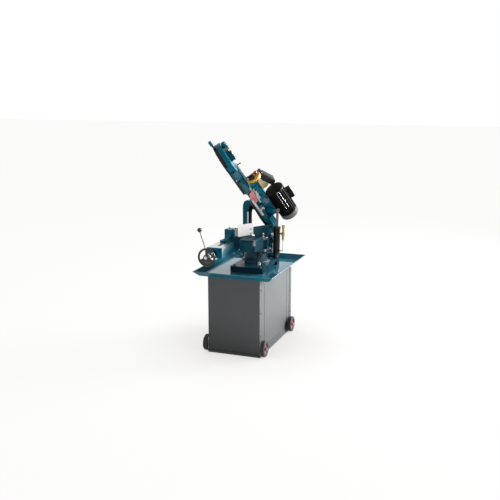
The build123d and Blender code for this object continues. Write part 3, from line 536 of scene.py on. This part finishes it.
lever_steel = worked_metal("lever_steel", (0.33, 0.33, 0.335), rough=0.5, lines=(1, 1, 4), metal=0.3)
web_grey = sprayed_paint("web_grey", (0.1, 0.105, 0.1), rough=0.45, patchy=0.1, peel=0.15, shine=0.2)
finish_node("movable_jaw", teal_enamel)
finish_node("jaw_plate", bright_steel)
finish_node("vise_screw", bright_steel)
finish_node("handwheel", black_plastic)
finish_node("clamp_lever", lever_steel)
finish_node("lever_ball", black_plastic)
JAW_SCREW_BACK = 0.011
face_low, face_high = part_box("jaw_plate")
jaw_spots = [(face_low.x - JAW_SCREW_BACK, bed_y + dy, face_high.z) for dy in (-JAW_SCREW_Y, JAW_SCREW_Y)]
socket_screws("movable_jaw_screws", jaw_spots, (0, 0, 1), screw_black, "jaw", JAW_SCREW_R)
screw_low, screw_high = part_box("vise_screw")
screw_z = (screw_low.z + screw_high.z) / 2
hex_bolts("handwheel_nut", [(screw_low.x, bed_y, screw_z)], (-1, 0, 0), bright_steel, "screw",
          across=0.019, proud=0.011)
RIM_MID = 0.062
RIM_IN = 0.011
rim_face = screw_low.x + RIM_IN
HANDLE_TURN = math.radians(35)
HANDLE_PROFILE = ((0, 0), (0.005, 0), (0.005, 0.008), (0.009, 0.010), (0.0115, 0.022),
                  (0.010, 0.036), (0.006, 0.040), (0, 0.040))
handle_spot = (rim_face, bed_y - RIM_MID * math.cos(HANDLE_TURN),
               screw_z + RIM_MID * math.sin(HANDLE_TURN))
turned_piece("handwheel_handle", HANDLE_PROFILE, facing(handle_spot, (-1, 0, 0)), black_plastic, "screw")
WEB_TURN = math.radians(56)
WEB_STEPS = 14
WEB_X = (-0.523, -0.517)
WEB_R = (0.018, 0.058)
WEB_SECTION = ((WEB_X[0], WEB_R[0]), (WEB_X[1], WEB_R[0]), (WEB_X[1], WEB_R[1]), (WEB_X[0], WEB_R[1]))
web_rows = []
for k in range(WEB_STEPS + 1):
    a = WEB_TURN * (2 * k / WEB_STEPS - 1)
    web_rows.append([(x, bed_y + radius * math.sin(a), screw_z - radius * math.cos(a))
                     for x, radius in WEB_SECTION])
balance_web = bmesh.new()
bent_strip(balance_web, web_rows)
made("handwheel_web", balance_web, web_grey, "screw")

# Gooseneck post: teal iron casting standing in the far corner of the tray, its foot held by
# two bright bolts. The inside of its bend is painted near-black and edged with a black strip as
# painted shade, and a bright steel strip beside the edge is a painted highlight.
# Painted shade: near-black paint on the inside of the bend.
neck_shade_black = sprayed_paint("neck_shade_black", (0.004, 0.004, 0.005),
                            rough=0.7, patchy=0.2, peel=0.2, shine=0.0)
highlight_steel = worked_metal("highlight_steel", (0.4, 0.46, 0.52), rough=0.35, lines=(1, 1, 6))
NECK_SHADE_FROM = 0.66
finish_node("gooseneck_post", teal_enamel)
second_finish("gooseneck_post", neck_shade_black,
              lambda face: min(face.normal.y, face.normal.z) < -0.3 and face.center.z > NECK_SHADE_FROM)
# Black strip along the edge of the bend: painted shade.
SHADE_EDGING_LINE = ((0.144, 0.63), (0.144, 0.96), (0.140, 0.996), (0.124, 1.012), (0.098, 1.004),
               (0.090, 1.026), (0.120, 1.044), (0.149, 1.034), (0.155, 0.985), (0.155, 0.63))
SHADE_EDGING_X = (0.3425, 0.3455)
shade_edging = bmesh.new()
bent_strip(shade_edging, [[(x, y, z) for y, z in SHADE_EDGING_LINE] for x in SHADE_EDGING_X])
made("neck_edging", shade_edging, neck_shade_black, "stand")
# Bright steel strip beside the black edge: a painted highlight.
HIGHLIGHT_STRIP_SIZE = (0.003, 0.014, 0.355)
HIGHLIGHT_STRIP_MID = (0.3445, 0.162, 0.8075)
flat_piece("neck_highlight_strip", HIGHLIGHT_STRIP_SIZE, Matrix.Translation(HIGHLIGHT_STRIP_MID), highlight_steel, "stand",
           edge=0.0006)
FOOT_TOP = 0.014
FOOT_IN = 0.008
FOOT_MID = 0.176
FOOT_BOLT_Y = 0.034
foot_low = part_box("gooseneck_post")[0]
foot_bolts = [(foot_low.x + FOOT_IN, FOOT_MID + dy, foot_low.z + FOOT_TOP)
              for dy in (-FOOT_BOLT_Y, FOOT_BOLT_Y)]
hex_bolts("gooseneck_bolts", foot_bolts, (0, 0, 1), bright_steel, "stand",
          across=0.010, proud=0.007)

# Bow: C-shaped casting in gloss teal. Pressed black covers with a teal pull handle close the
# wheel housings; the idler slide is a casting with a grey end, cap screws and a teal knob.
tip_way = Vector(joints["guide_slide"]["axis"])
axle_way = Vector(joints["drive_spin"]["axis"])
wide_way = axle_way.cross(-tip_way)
bow_turn = Matrix((-tip_way, wide_way, axle_way)).transposed().to_4x4()
bow = Matrix.Translation(pivot) @ bow_turn


def on_bow(reach, wide, deep):
    """Point of the bow: from the pivot to the tip, across, and along the wheel axles."""
    return bow @ Vector((-reach, wide, deep))


def square_to_bow(reach, wide, deep):
    """Place at a point of the bow, turned as the bow is."""
    return Matrix.Translation(on_bow(reach, wide, deep)) @ bow_turn


def joint_on_bow(name):
    """Reach, width and depth on the bow of the joint with this name."""
    gap = Vector(joints[name]["pos_m"]) - pivot
    return gap.dot(tip_way), gap.dot(wide_way), gap.dot(axle_way)


def past(reach):
    """Picks the faces that lie further to the tip than reach."""
    return lambda face: (face.center - pivot).dot(tip_way) > reach


cover_black = sprayed_paint("cover_black", (0.005, 0.005, 0.006),
                            rough=0.3, patchy=0.15, peel=0.1, shine=0.25)
cast_grey = worked_metal("cast_grey", (0.16, 0.17, 0.18), rough=0.42, lines=(1, 1, 1), metal=0.6)
finish_node("bow_frame", teal_enamel)
finish_node("drive_cover", cover_black)
finish_node("idler_cover", cover_black)
finish_node("tension_bracket", table_teal)
finish_node("tension_knob", teal_enamel)
finish_node("drive_wheel", cast_grey)
finish_node("idler_wheel", cast_grey)
finish_node("blade", bright_steel)
finish_node("pivot_shaft", bright_steel)
drive_reach = joint_on_bow("drive_spin")[0]
idler_reach, wheel_wide = joint_on_bow("idler_spin")[:2]
HOUSE_R = 0.132
SLIDE_END = 0.070
second_finish("idler_cover", teal_enamel, past(idler_reach + HOUSE_R + HAIR))
second_finish("tension_bracket", cast_grey, past(idler_reach + SLIDE_END))
LIP_SECTION = ((HOUSE_R - 0.0004, -0.004), (HOUSE_R + 0.0012, -0.005),
               (HOUSE_R + 0.0012, -0.029), (HOUSE_R - 0.0004, -0.030))
LIP_HALF = 100
LIP_STEP = 5
lip_turns = [math.radians(turn) for turn in range(-LIP_HALF, LIP_HALF + 1, LIP_STEP)]
cover_lip = bmesh.new()
bent_strip(cover_lip, [[on_bow(*around(idler_reach, wheel_wide, radius, a), deep)
                        for radius, deep in LIP_SECTION] for a in lip_turns])
made("idler_cover_lip", cover_lip, cover_black, "saw_head")
COVER_OUT = -0.034
COVER_SCREWS_R = 0.100
for cover, reach, turns in (("drive", drive_reach, (40, 130, 280)),
                            ("idler", idler_reach, (100, 220, 340))):
    cover_spots = [on_bow(*around(reach, wheel_wide, COVER_SCREWS_R, math.radians(turn)), COVER_OUT)
                   for turn in turns]
    socket_screws(f"{cover}_cover_screws", cover_spots, -axle_way, bright_steel, "saw_head",
                  radius=0.007)
PIVOT_FRONT = 0.058
PIVOT_BACK = 0.041
hex_bolts("pivot_bolt_front", [pivot + PIVOT_FRONT * front_way], front_way, bright_steel, "saw_head",
          across=0.022, proud=0.012)
hex_bolts("pivot_bolt_back", [pivot + PIVOT_BACK * back_way], back_way, bright_steel, "saw_head",
          across=0.019, proud=0.012)
SLIDE_OUT = 0.069
SLIDE_SCREW_ALONG = 0.022
SLIDE_SCREW_WIDE = 0.016
slide_spots = [on_bow(idler_reach + dr, wheel_wide + dw, SLIDE_OUT)
               for dr in (-SLIDE_SCREW_ALONG, SLIDE_SCREW_ALONG)
               for dw in (-SLIDE_SCREW_WIDE, SLIDE_SCREW_WIDE)]
socket_screws("idler_slide_screws", slide_spots, axle_way, bright_steel, "saw_head",
              radius=0.006)
FRAME_OUT = 0.030
FRAME_BOLTS_R = 0.112
frame_spots = [on_bow(*around(idler_reach, wheel_wide, FRAME_BOLTS_R, math.radians(turn)), FRAME_OUT)
               for turn in (50, 110, 290)]
hex_bolts("frame_bolts", frame_spots, axle_way, screw_black, "saw_head",
          across=0.013, proud=0.009)

# Blade guides and guards: bright guide bar with cut marks and clamp bolts, grey front block,
# a red front shield, and teal sheet guards over the idle blade with a grey side strip.
shield_red = sprayed_paint("shield_red", (0.66, 0.18, 0.17), rough=0.35, patchy=0.08, peel=0.1)
guide_alloy = worked_metal("guide_alloy", (0.5, 0.49, 0.47), rough=0.42, lines=(1, 1, 3), metal=0.5)
guard_teal = sprayed_paint("guard_teal", (0.008, 0.08, 0.112),
                           rough=0.35, patchy=0.1, peel=0.1, shine=0.15)
guard_grey = sprayed_paint("guard_grey", (0.085, 0.083, 0.084),
                           rough=0.4, patchy=0.08, peel=0.1, shine=0.3)
finish_node("rear_guide", bright_steel)
finish_node("guide_bar", bright_steel)
finish_node("front_guide", guide_alloy)
finish_node("guide_shield", shield_red)
finish_node("blade_guard", guard_teal)
finish_node("blade_shield", guard_teal)
finish_node("guide_lock", black_plastic)
SLOT_SIZE = (0.066, 0.0015, 0.036)
slot_place = square_to_bow(reach=0.668, wide=-0.0135, deep=-0.002)
flat_piece("blade_slot_strip", SLOT_SIZE, slot_place, teal_enamel, "saw_head", edge=0.0004)
LEAN = math.radians(33)
SIDE_SIZE = (0.218, 0.003, 0.018)
SIDE_MID = (-0.523, 0.0165, -0.020)
side_place = bow @ Matrix.Rotation(-LEAN, 4, "X") @ Matrix.Translation(SIDE_MID)
flat_piece("blade_guard_side", SIDE_SIZE, side_place, guard_grey, "saw_head", edge=0.0006)
BAR_TOP = 0.0423
BAR_EDGE = 0.233
BAR_MARKS = 15
BAR_MARK_FROM = 0.415
BAR_MARK_STEP = 0.009
BAR_MARK_WIDE = 0.0008
BAR_MARK_THICK = 0.0004
bar_marks = bmesh.new()
for k in range(BAR_MARKS):
    long = 0.010 if k % 5 == 0 else 0.006
    mark_place = square_to_bow(BAR_MARK_FROM + BAR_MARK_STEP * k, BAR_EDGE - long / 2, BAR_TOP)
    slab(bar_marks, (BAR_MARK_WIDE, long, BAR_MARK_THICK), mark_place)
made("guide_bar_marks", bar_marks, screw_black, "guide")
ARM_BOLT_WIDE = 0.188
arm_spots = [on_bow(reach, ARM_BOLT_WIDE, BAR_TOP) for reach in (0.357, 0.383)]
hex_bolts("guide_arm_bolts", arm_spots, axle_way, screw_black, "guide",
          across=0.013, proud=0.009)
CLAMP_PROFILE = ((0, -SEATED), (0.007, -SEATED), (0.007, 0.005), (0.004, 0.006), (0.004, 0.020),
                 (0.006, 0.021), (0.006, 0.028), (0, 0.028))
CLAMP_BAR = (0.030, 0.005, 0.005)
CLAMP_BAR_Z = 0.024
clamp_place = facing(on_bow(reach=0.545, wide=0.228, deep=BAR_TOP), axle_way)
clamp_screw = bmesh.new()
turned(clamp_screw, CLAMP_PROFILE, clamp_place, 16)
slab(clamp_screw, CLAMP_BAR, clamp_place @ Matrix.Translation((0, 0, CLAMP_BAR_Z)), 0.001)
made("guide_bar_clamp", clamp_screw, black_plastic, "guide")

# Drive: teal gear case with a round slate-blue worm cover, black cap screws, a zinc edge rail
# and a black oil plug; black finned motor with a grey fan cover, its grille, a blank plate, a
# lidded terminal box with a gland, and a bright steel bar on its fin tips as a painted highlight.
motor_black = sprayed_paint("motor_black", (0.007, 0.007, 0.008),
                            rough=0.42, patchy=0.2, peel=0.1, shine=0.06)
fan_grey = sprayed_paint("fan_grey", (0.13, 0.132, 0.132), rough=0.55, patchy=0.06, peel=0.1, shine=0.06)
case_teal = sprayed_paint("case_teal", (0.001, 0.2, 0.31), rough=0.25, patchy=0.1, peel=0.1, shine=0.12)
rail_zinc = worked_metal("rail_zinc", (0.75, 0.72, 0.62), rough=0.45, lines=(6, 1, 1), metal=0.3)
worm_slate = sprayed_paint("worm_slate", (0.2, 0.34, 0.43), rough=0.4, patchy=0.1, peel=0.1, shine=0.2)
finish_node("gear_case", case_teal)
finish_node("motor_body", motor_black)
finish_node("fan_cover", fan_grey)
finish_node("terminal_box", motor_black)
CASE_SIDE = 0.052
CASE_FACE = 0.112
CASE_FACE_MID = 0.142
CASE_SCREW_R = 0.008
SIDE_SCREWS = ((0.100, 0.060), (0.100, 0.098), (0.222, 0.060),
               (0.250, 0.098), (0.370, 0.060), (0.370, 0.098))
side_spots = [on_bow(reach, CASE_SIDE, deep) for reach, deep in SIDE_SCREWS]
socket_screws("gear_case_side_screws", side_spots, -wide_way, screw_black, "saw_head",
              CASE_SCREW_R)
face_spots = [on_bow(reach, CASE_FACE_MID, CASE_FACE) for reach in (0.100, 0.235, 0.372)]
socket_screws("gear_case_face_screws", face_spots, axle_way, screw_black, "saw_head",
              CASE_SCREW_R)
EDGE_RAIL_SIZE = (0.105, 0.0026, 0.017)
rail_place = square_to_bow(reach=0.3325, wide=0.051, deep=0.0530)
flat_piece("case_edge_rail", EDGE_RAIL_SIZE, rail_place, rail_zinc, "saw_head", edge=0.0006)
WORM_PROFILE = ((0, -SEATED), (0.029, -SEATED), (0.029, 0.002), (0.027, 0.003), (0.012, 0.003),
                (0.011, 0.002), (0, 0.002))
worm_place = facing(on_bow(reach=0.230, wide=CASE_SIDE, deep=0.081), -wide_way)
turned_piece("worm_cover", WORM_PROFILE, worm_place, worm_slate, "saw_head")
PLUG_PROFILE = ((0, -SEATED), (0.010, -SEATED), (0.010, 0.004), (0.008, 0.006), (0.006, 0.003), (0, 0.003))
plug_place = facing(on_bow(reach=0.300, wide=CASE_SIDE, deep=0.072), -wide_way)
turned_piece("oil_plug", PLUG_PROFILE, plug_place, screw_black, "saw_head")
MOTOR_WIDE = 0.0144
MOTOR_DEEP = 0.1875
FAN_REACH = 0.020
GRILLE_STEPS = 40
GRILLE_SECTION = ((-0.0035, -SEATED), (0.0035, -SEATED), (0.0030, 0.0012), (-0.0030, 0.0012))
fan_end = facing(on_bow(FAN_REACH, MOTOR_WIDE, MOTOR_DEEP), -tip_way)
grille_turns = [math.tau * k / GRILLE_STEPS for k in range(GRILLE_STEPS)]
grille = bmesh.new()
for ring_r in (0.014, 0.026, 0.038, 0.050):
    bent_strip(grille, [[fan_end @ Vector((*around(0, 0, ring_r + dr, a), dz)) for dr, dz in GRILLE_SECTION]
                        for a in grille_turns], closed=True)
made("fan_grille", grille, motor_black, "saw_head")
# Painted highlight: a bright steel U-shaped bar laid on the fin tips along the motor.
FIN_OUT = 0.0760
FIN_START = 0.135
FIN_END = 0.296
HIGHLIGHT_BAR_LINE = ((180, FIN_START), (180, FIN_END), (184, FIN_END + 0.008), (189, FIN_END + 0.010),
            (194, FIN_END + 0.008), (198, FIN_END), (198, FIN_START))
highlight_bar_line = []
for turn, reach in HIGHLIGHT_BAR_LINE:
    a = math.radians(turn)
    highlight_bar_line.append(on_bow(reach, MOTOR_WIDE + FIN_OUT * math.cos(a), MOTOR_DEEP - FIN_OUT * math.sin(a)))
rolled_bar("motor_highlight_bar", highlight_bar_line, bright_steel, "saw_head", radius=0.0016)
BLANK_SIZE = (0.056, 0.0016, 0.030)
blank_place = square_to_bow(reach=0.200, wide=MOTOR_WIDE + 0.0755, deep=MOTOR_DEEP)
flat_piece("motor_blank_plate", BLANK_SIZE, blank_place, alloy, "saw_head", edge=0.0004)
LID_SIZE = (0.080, 0.055, 0.0064)
LID_REACH = 0.1895
LID_WIDE = MOTOR_WIDE + 0.030
LID_MID = 0.2935
LID_TOP = 0.2967
flat_piece("terminal_lid", LID_SIZE, square_to_bow(LID_REACH, LID_WIDE, LID_MID), motor_black, "saw_head",
           edge=0.0015)
LID_SCREW_R = 0.0035
LID_SCREW_ALONG = 0.033
LID_SCREW_WIDE = 0.021
lid_spots = [on_bow(LID_REACH + dr, LID_WIDE + dw, LID_TOP) for dr in (-LID_SCREW_ALONG, LID_SCREW_ALONG)
             for dw in (-LID_SCREW_WIDE, LID_SCREW_WIDE)]
socket_screws("terminal_lid_screws", lid_spots, axle_way, bright_steel, "saw_head",
              LID_SCREW_R)
GLAND_NUT = ((0, -0.0005), (0.011, -0.0005), (0.011, 0.008), (0, 0.008))
GLAND_CAP = ((0, 0.007), (0.009, 0.007), (0.009, 0.014), (0.006, 0.018), (0, 0.018))
gland_place = facing(on_bow(reach=0.147, wide=LID_WIDE + 0.004, deep=0.278), -tip_way)
gland = bmesh.new()
turned(gland, GLAND_NUT, gland_place, 6)
turned(gland, GLAND_CAP, gland_place)
made("terminal_gland", gland, black_plastic, "saw_head")

# Controls: black steel control box with a screwed lid on a passivated bracket. The yellow
# switch housing on its end has a black selector with a white pointer and a red stop button.
box_black = sprayed_paint("box_black", (0.009, 0.009, 0.01), rough=0.35, patchy=0.15, peel=0.2, shine=0.3)
passivated = worked_metal("passivated", (0.85, 0.66, 0.36), rough=0.4, lines=(1, 1, 3), metal=0.6)
switch_yellow = sprayed_paint("switch_yellow", (0.78, 0.45, 0.075),
                              rough=0.35, patchy=0.06, peel=0.08, shine=0.3)
stop_red = sprayed_paint("stop_red", (0.55, 0.015, 0.015), rough=0.25, patchy=0.08, peel=0.05)
finish_node("control_box", box_black)
finish_node("control_bracket", passivated)
finish_node("switch_plate", switch_yellow)
finish_node("selector_knob", black_plastic)
finish_node("stop_button", stop_red)
BOX_SLOPE = math.atan2(0.062, 0.132)
BOX_MID = (-0.400, 0.082, 0.181)
BOX_TOP = 0.0225
BOX_LID_SIZE = (0.134, 0.080, 0.004)
BOX_LID_MID = BOX_TOP + 0.0016
BOX_LID_TOP = BOX_TOP + 0.0036
box_place = bow @ Matrix.Translation(BOX_MID) @ Matrix.Rotation(-BOX_SLOPE, 4, "Y")
box_up = box_place.to_3x3() @ Vector((0, 0, 1))
flat_piece("control_lid", BOX_LID_SIZE, box_place @ Matrix.Translation((0, 0, BOX_LID_MID)), box_black,
           "saw_head", edge=0.001)
BOX_SCREW_X = 0.06
BOX_SCREW_Y = 0.034
control_spots = [box_place @ Vector((dx, dy, BOX_LID_TOP)) for dx in (-BOX_SCREW_X, BOX_SCREW_X)
                 for dy in (-BOX_SCREW_Y, BOX_SCREW_Y)]
socket_screws("control_lid_screws", control_spots, box_up, bright_steel, "saw_head",
              LID_SCREW_R)
SWITCH_FACE = 0.498
SELECTOR_TOP = 0.528
selector_wide, selector_deep = joint_on_bow("selector_turn")[1:]
SWITCH_MARKS_R = 0.031
SWITCH_MARK_SIZE = (0.0006, 0.002, 0.006)
switch_marks = bmesh.new()
for turn in (-45, 0, 45):
    a = math.radians(turn)
    mark_place = square_to_bow(SWITCH_FACE, selector_wide + SWITCH_MARKS_R * math.sin(a),
                               selector_deep + SWITCH_MARKS_R * math.cos(a))
    slab(switch_marks, SWITCH_MARK_SIZE, mark_place @ Matrix.Rotation(-a, 4, "X"))
made("switch_marks", switch_marks, screw_black, "saw_head")
POINTER_SIZE = (0.0008, 0.003, 0.02)
POINTER_OFF = 0.012
pointer_place = square_to_bow(SELECTOR_TOP, selector_wide, selector_deep + POINTER_OFF)
flat_piece("selector_pointer", POINTER_SIZE, pointer_place, mark_white, "selector")

# Feed cylinder: black tube that lets the head down slowly, hardened dark rod, and a brass
# valve with a thin steel pipe held by brass nuts.
rod_steel = worked_metal("rod_steel", (0.13, 0.135, 0.14), rough=0.25, lines=(1, 1, 4))
turned_brass = worked_metal("turned_brass", (0.33, 0.29, 0.1), rough=0.4, lines=(1, 1, 5))
finish_node("cylinder_tube", cover_black)
finish_node("piston_rod", rod_steel)
finish_node("valve_block", turned_brass)
finish_node("feed_pipe", bright_steel)
finish_node("valve_knob", turned_brass)
rod_way = Vector(joints["rod_slide"]["axis"])
cylinder_turn = Matrix((back_way.cross(rod_way), back_way, rod_way)).transposed().to_4x4()
cylinder = Matrix.Translation(joints["cylinder_swing"]["pos_m"]) @ cylinder_turn
UPPER_NUT = ((0, 0), (0.0065, 0), (0.0065, 0.011), (0.005, 0.013), (0, 0.013))
UPPER_NUT_AT = Vector((0, -0.075, 0.1503))
LOWER_NUT = ((0, 0), (0.0075, 0), (0.0075, 0.010), (0.005, 0.012), (0, 0.012))
LOWER_NUT_AT = Vector((0, -0.0327, 0.052))
pipe_nuts = bmesh.new()
turned(pipe_nuts, UPPER_NUT, facing(cylinder @ UPPER_NUT_AT, -rod_way), 6)
turned(pipe_nuts, LOWER_NUT, facing(cylinder @ LOWER_NUT_AT, front_way), 6)
made("feed_pipe_nuts", pipe_nuts, turned_brass, "feed_cylinder")


# Studio: pale floor that keeps the shadow, its glow darkened near the machine as painted contact
# shade, a dome that is white behind the machine and darker on the viewer's side, and one broad
# soft lamp on the operator's side.
def shown_rays(tree):
    """1 where the floor or dome is seen, straight or in a mirror or glass, and 0 where it only lights."""
    rays = tree.nodes.new("ShaderNodeLightPath")
    shown = rays.outputs["Is Camera Ray"]
    for kind in ("Is Glossy Ray", "Is Transmission Ray"):
        either = tree.nodes.new("ShaderNodeMath")
        either.operation = "MAXIMUM"
        tree.links.new(shown, either.inputs[0])
        tree.links.new(rays.outputs[kind], either.inputs[1])
        shown = either.outputs[0]
    return shown


FLOOR_HALF = 40.0
floor_corners = [(side_x * FLOOR_HALF, side_y * FLOOR_HALF, 0)
                 for side_x, side_y in ((-1, -1), (1, -1), (1, 1), (-1, 1))]
floor_mesh = bpy.data.meshes.new("studio_floor")
floor_mesh.from_pydata(floor_corners, [], [(0, 1, 2, 3)])
floor = bpy.data.objects.new("studio_floor", floor_mesh)
bpy.context.collection.objects.link(floor)
floor_pale = sprayed_paint("floor_pale", (0.88, 0.88, 0.88), rough=0.9, patchy=0.004, peel=0.0)
floor_mesh.materials.append(floor_pale)
floor_tree = floor_pale.node_tree
glow = floor_tree.nodes.new("ShaderNodeEmission")
# Painted contact shade: the floor's glow is darkened near the machine by ambient occlusion.
contact = floor_tree.nodes.new("ShaderNodeAmbientOcclusion")
contact.inputs["Distance"].default_value = 0.8
contact_painted_shade = floor_tree.nodes.new("ShaderNodeMix")
contact_painted_shade.data_type = "RGBA"
contact_painted_shade.inputs["A"].default_value = (0.6, 0.585, 0.56, 1)
contact_painted_shade.inputs["B"].default_value = (0.99, 0.985, 0.98, 1)
lift = floor_tree.nodes.new("ShaderNodeMapRange")
lift.inputs["To Max"].default_value = 0.93
floor_mix = floor_tree.nodes.new("ShaderNodeMixShader")
floor_link = floor_tree.links.new
floor_link(contact.outputs["AO"], contact_painted_shade.inputs["Factor"])
floor_link(contact_painted_shade.outputs["Result"], glow.inputs["Color"])
floor_link(shown_rays(floor_tree), lift.inputs["Value"])
floor_link(lift.outputs["Result"], floor_mix.inputs["Fac"])
floor_link(floor_tree.nodes["Principled BSDF"].outputs[0], floor_mix.inputs[1])
floor_link(glow.outputs[0], floor_mix.inputs[2])
floor_link(floor_mix.outputs[0], floor_tree.nodes["Material Output"].inputs["Surface"])
dome = bpy.data.worlds.new("studio_dome")
bpy.context.scene.world = dome
dome.use_nodes = True
dome_tree = dome.node_tree
dome_way = dome_tree.nodes.new("ShaderNodeTexCoord")
toward = dome_tree.nodes.new("ShaderNodeVectorMath")
toward.operation = "DOT_PRODUCT"
toward.inputs[1].default_value = (0.84, 0.22, 0.5)
spread = dome_tree.nodes.new("ShaderNodeMapRange")
spread.inputs["From Min"].default_value = -0.5
spread.inputs["From Max"].default_value = 0.65
shade = dome_tree.nodes.new("ShaderNodeValToRGB")
shade.color_ramp.elements[0].color = (0.086, 0.09, 0.093, 1)
shade.color_ramp.elements[1].color = (0.97, 0.97, 0.97, 1)
white_side = dome_tree.nodes.new("ShaderNodeMix")
white_side.data_type = "RGBA"
white_side.inputs["B"].default_value = (1, 1, 1, 1)
dome_link = dome_tree.links.new
dome_link(dome_way.outputs["Generated"], toward.inputs[0])
dome_link(toward.outputs["Value"], spread.inputs["Value"])
dome_link(spread.outputs["Result"], shade.inputs["Fac"])
dome_link(shade.outputs["Color"], white_side.inputs["A"])
dome_link(shown_rays(dome_tree), white_side.inputs["Factor"])
dome_link(white_side.outputs["Result"], dome_tree.nodes["Background"].inputs["Color"])
LAMP_AT = Vector((2.9, -3.4, 1.9))
LAMP_AIM = Vector((0, 0, 0.7))
lamp = bpy.data.lights.new("side_lamp", "AREA")
lamp.size = 2.2
lamp.energy = 590
lamp_object = bpy.data.objects.new("side_lamp", lamp)
bpy.context.collection.objects.link(lamp_object)
lamp_object.location = LAMP_AT
lamp_object.rotation_euler = (LAMP_AIM - LAMP_AT).to_track_quat("-Z", "Y").to_euler()

# Camera: at the photograph's viewing angle, a little above the machine and in front of its
# near end.
CAMERA_AT = (-5.4395, -2.021, 1.969)
CAMERA_WAY = Vector((0.91622, 0.34292, -0.20723))
camera = bpy.data.cameras.new("camera")
camera.lens = 53.98
camera.sensor_width = 36.0
camera.clip_end = 200
camera_object = bpy.data.objects.new("camera", camera)
bpy.context.collection.objects.link(camera_object)
camera_object.location = CAMERA_AT
camera_object.rotation_euler = CAMERA_WAY.to_track_quat("-Z", "Y").to_euler()
bpy.context.scene.camera = camera_object
bpy.context.scene.view_settings.view_transform = "Standard"
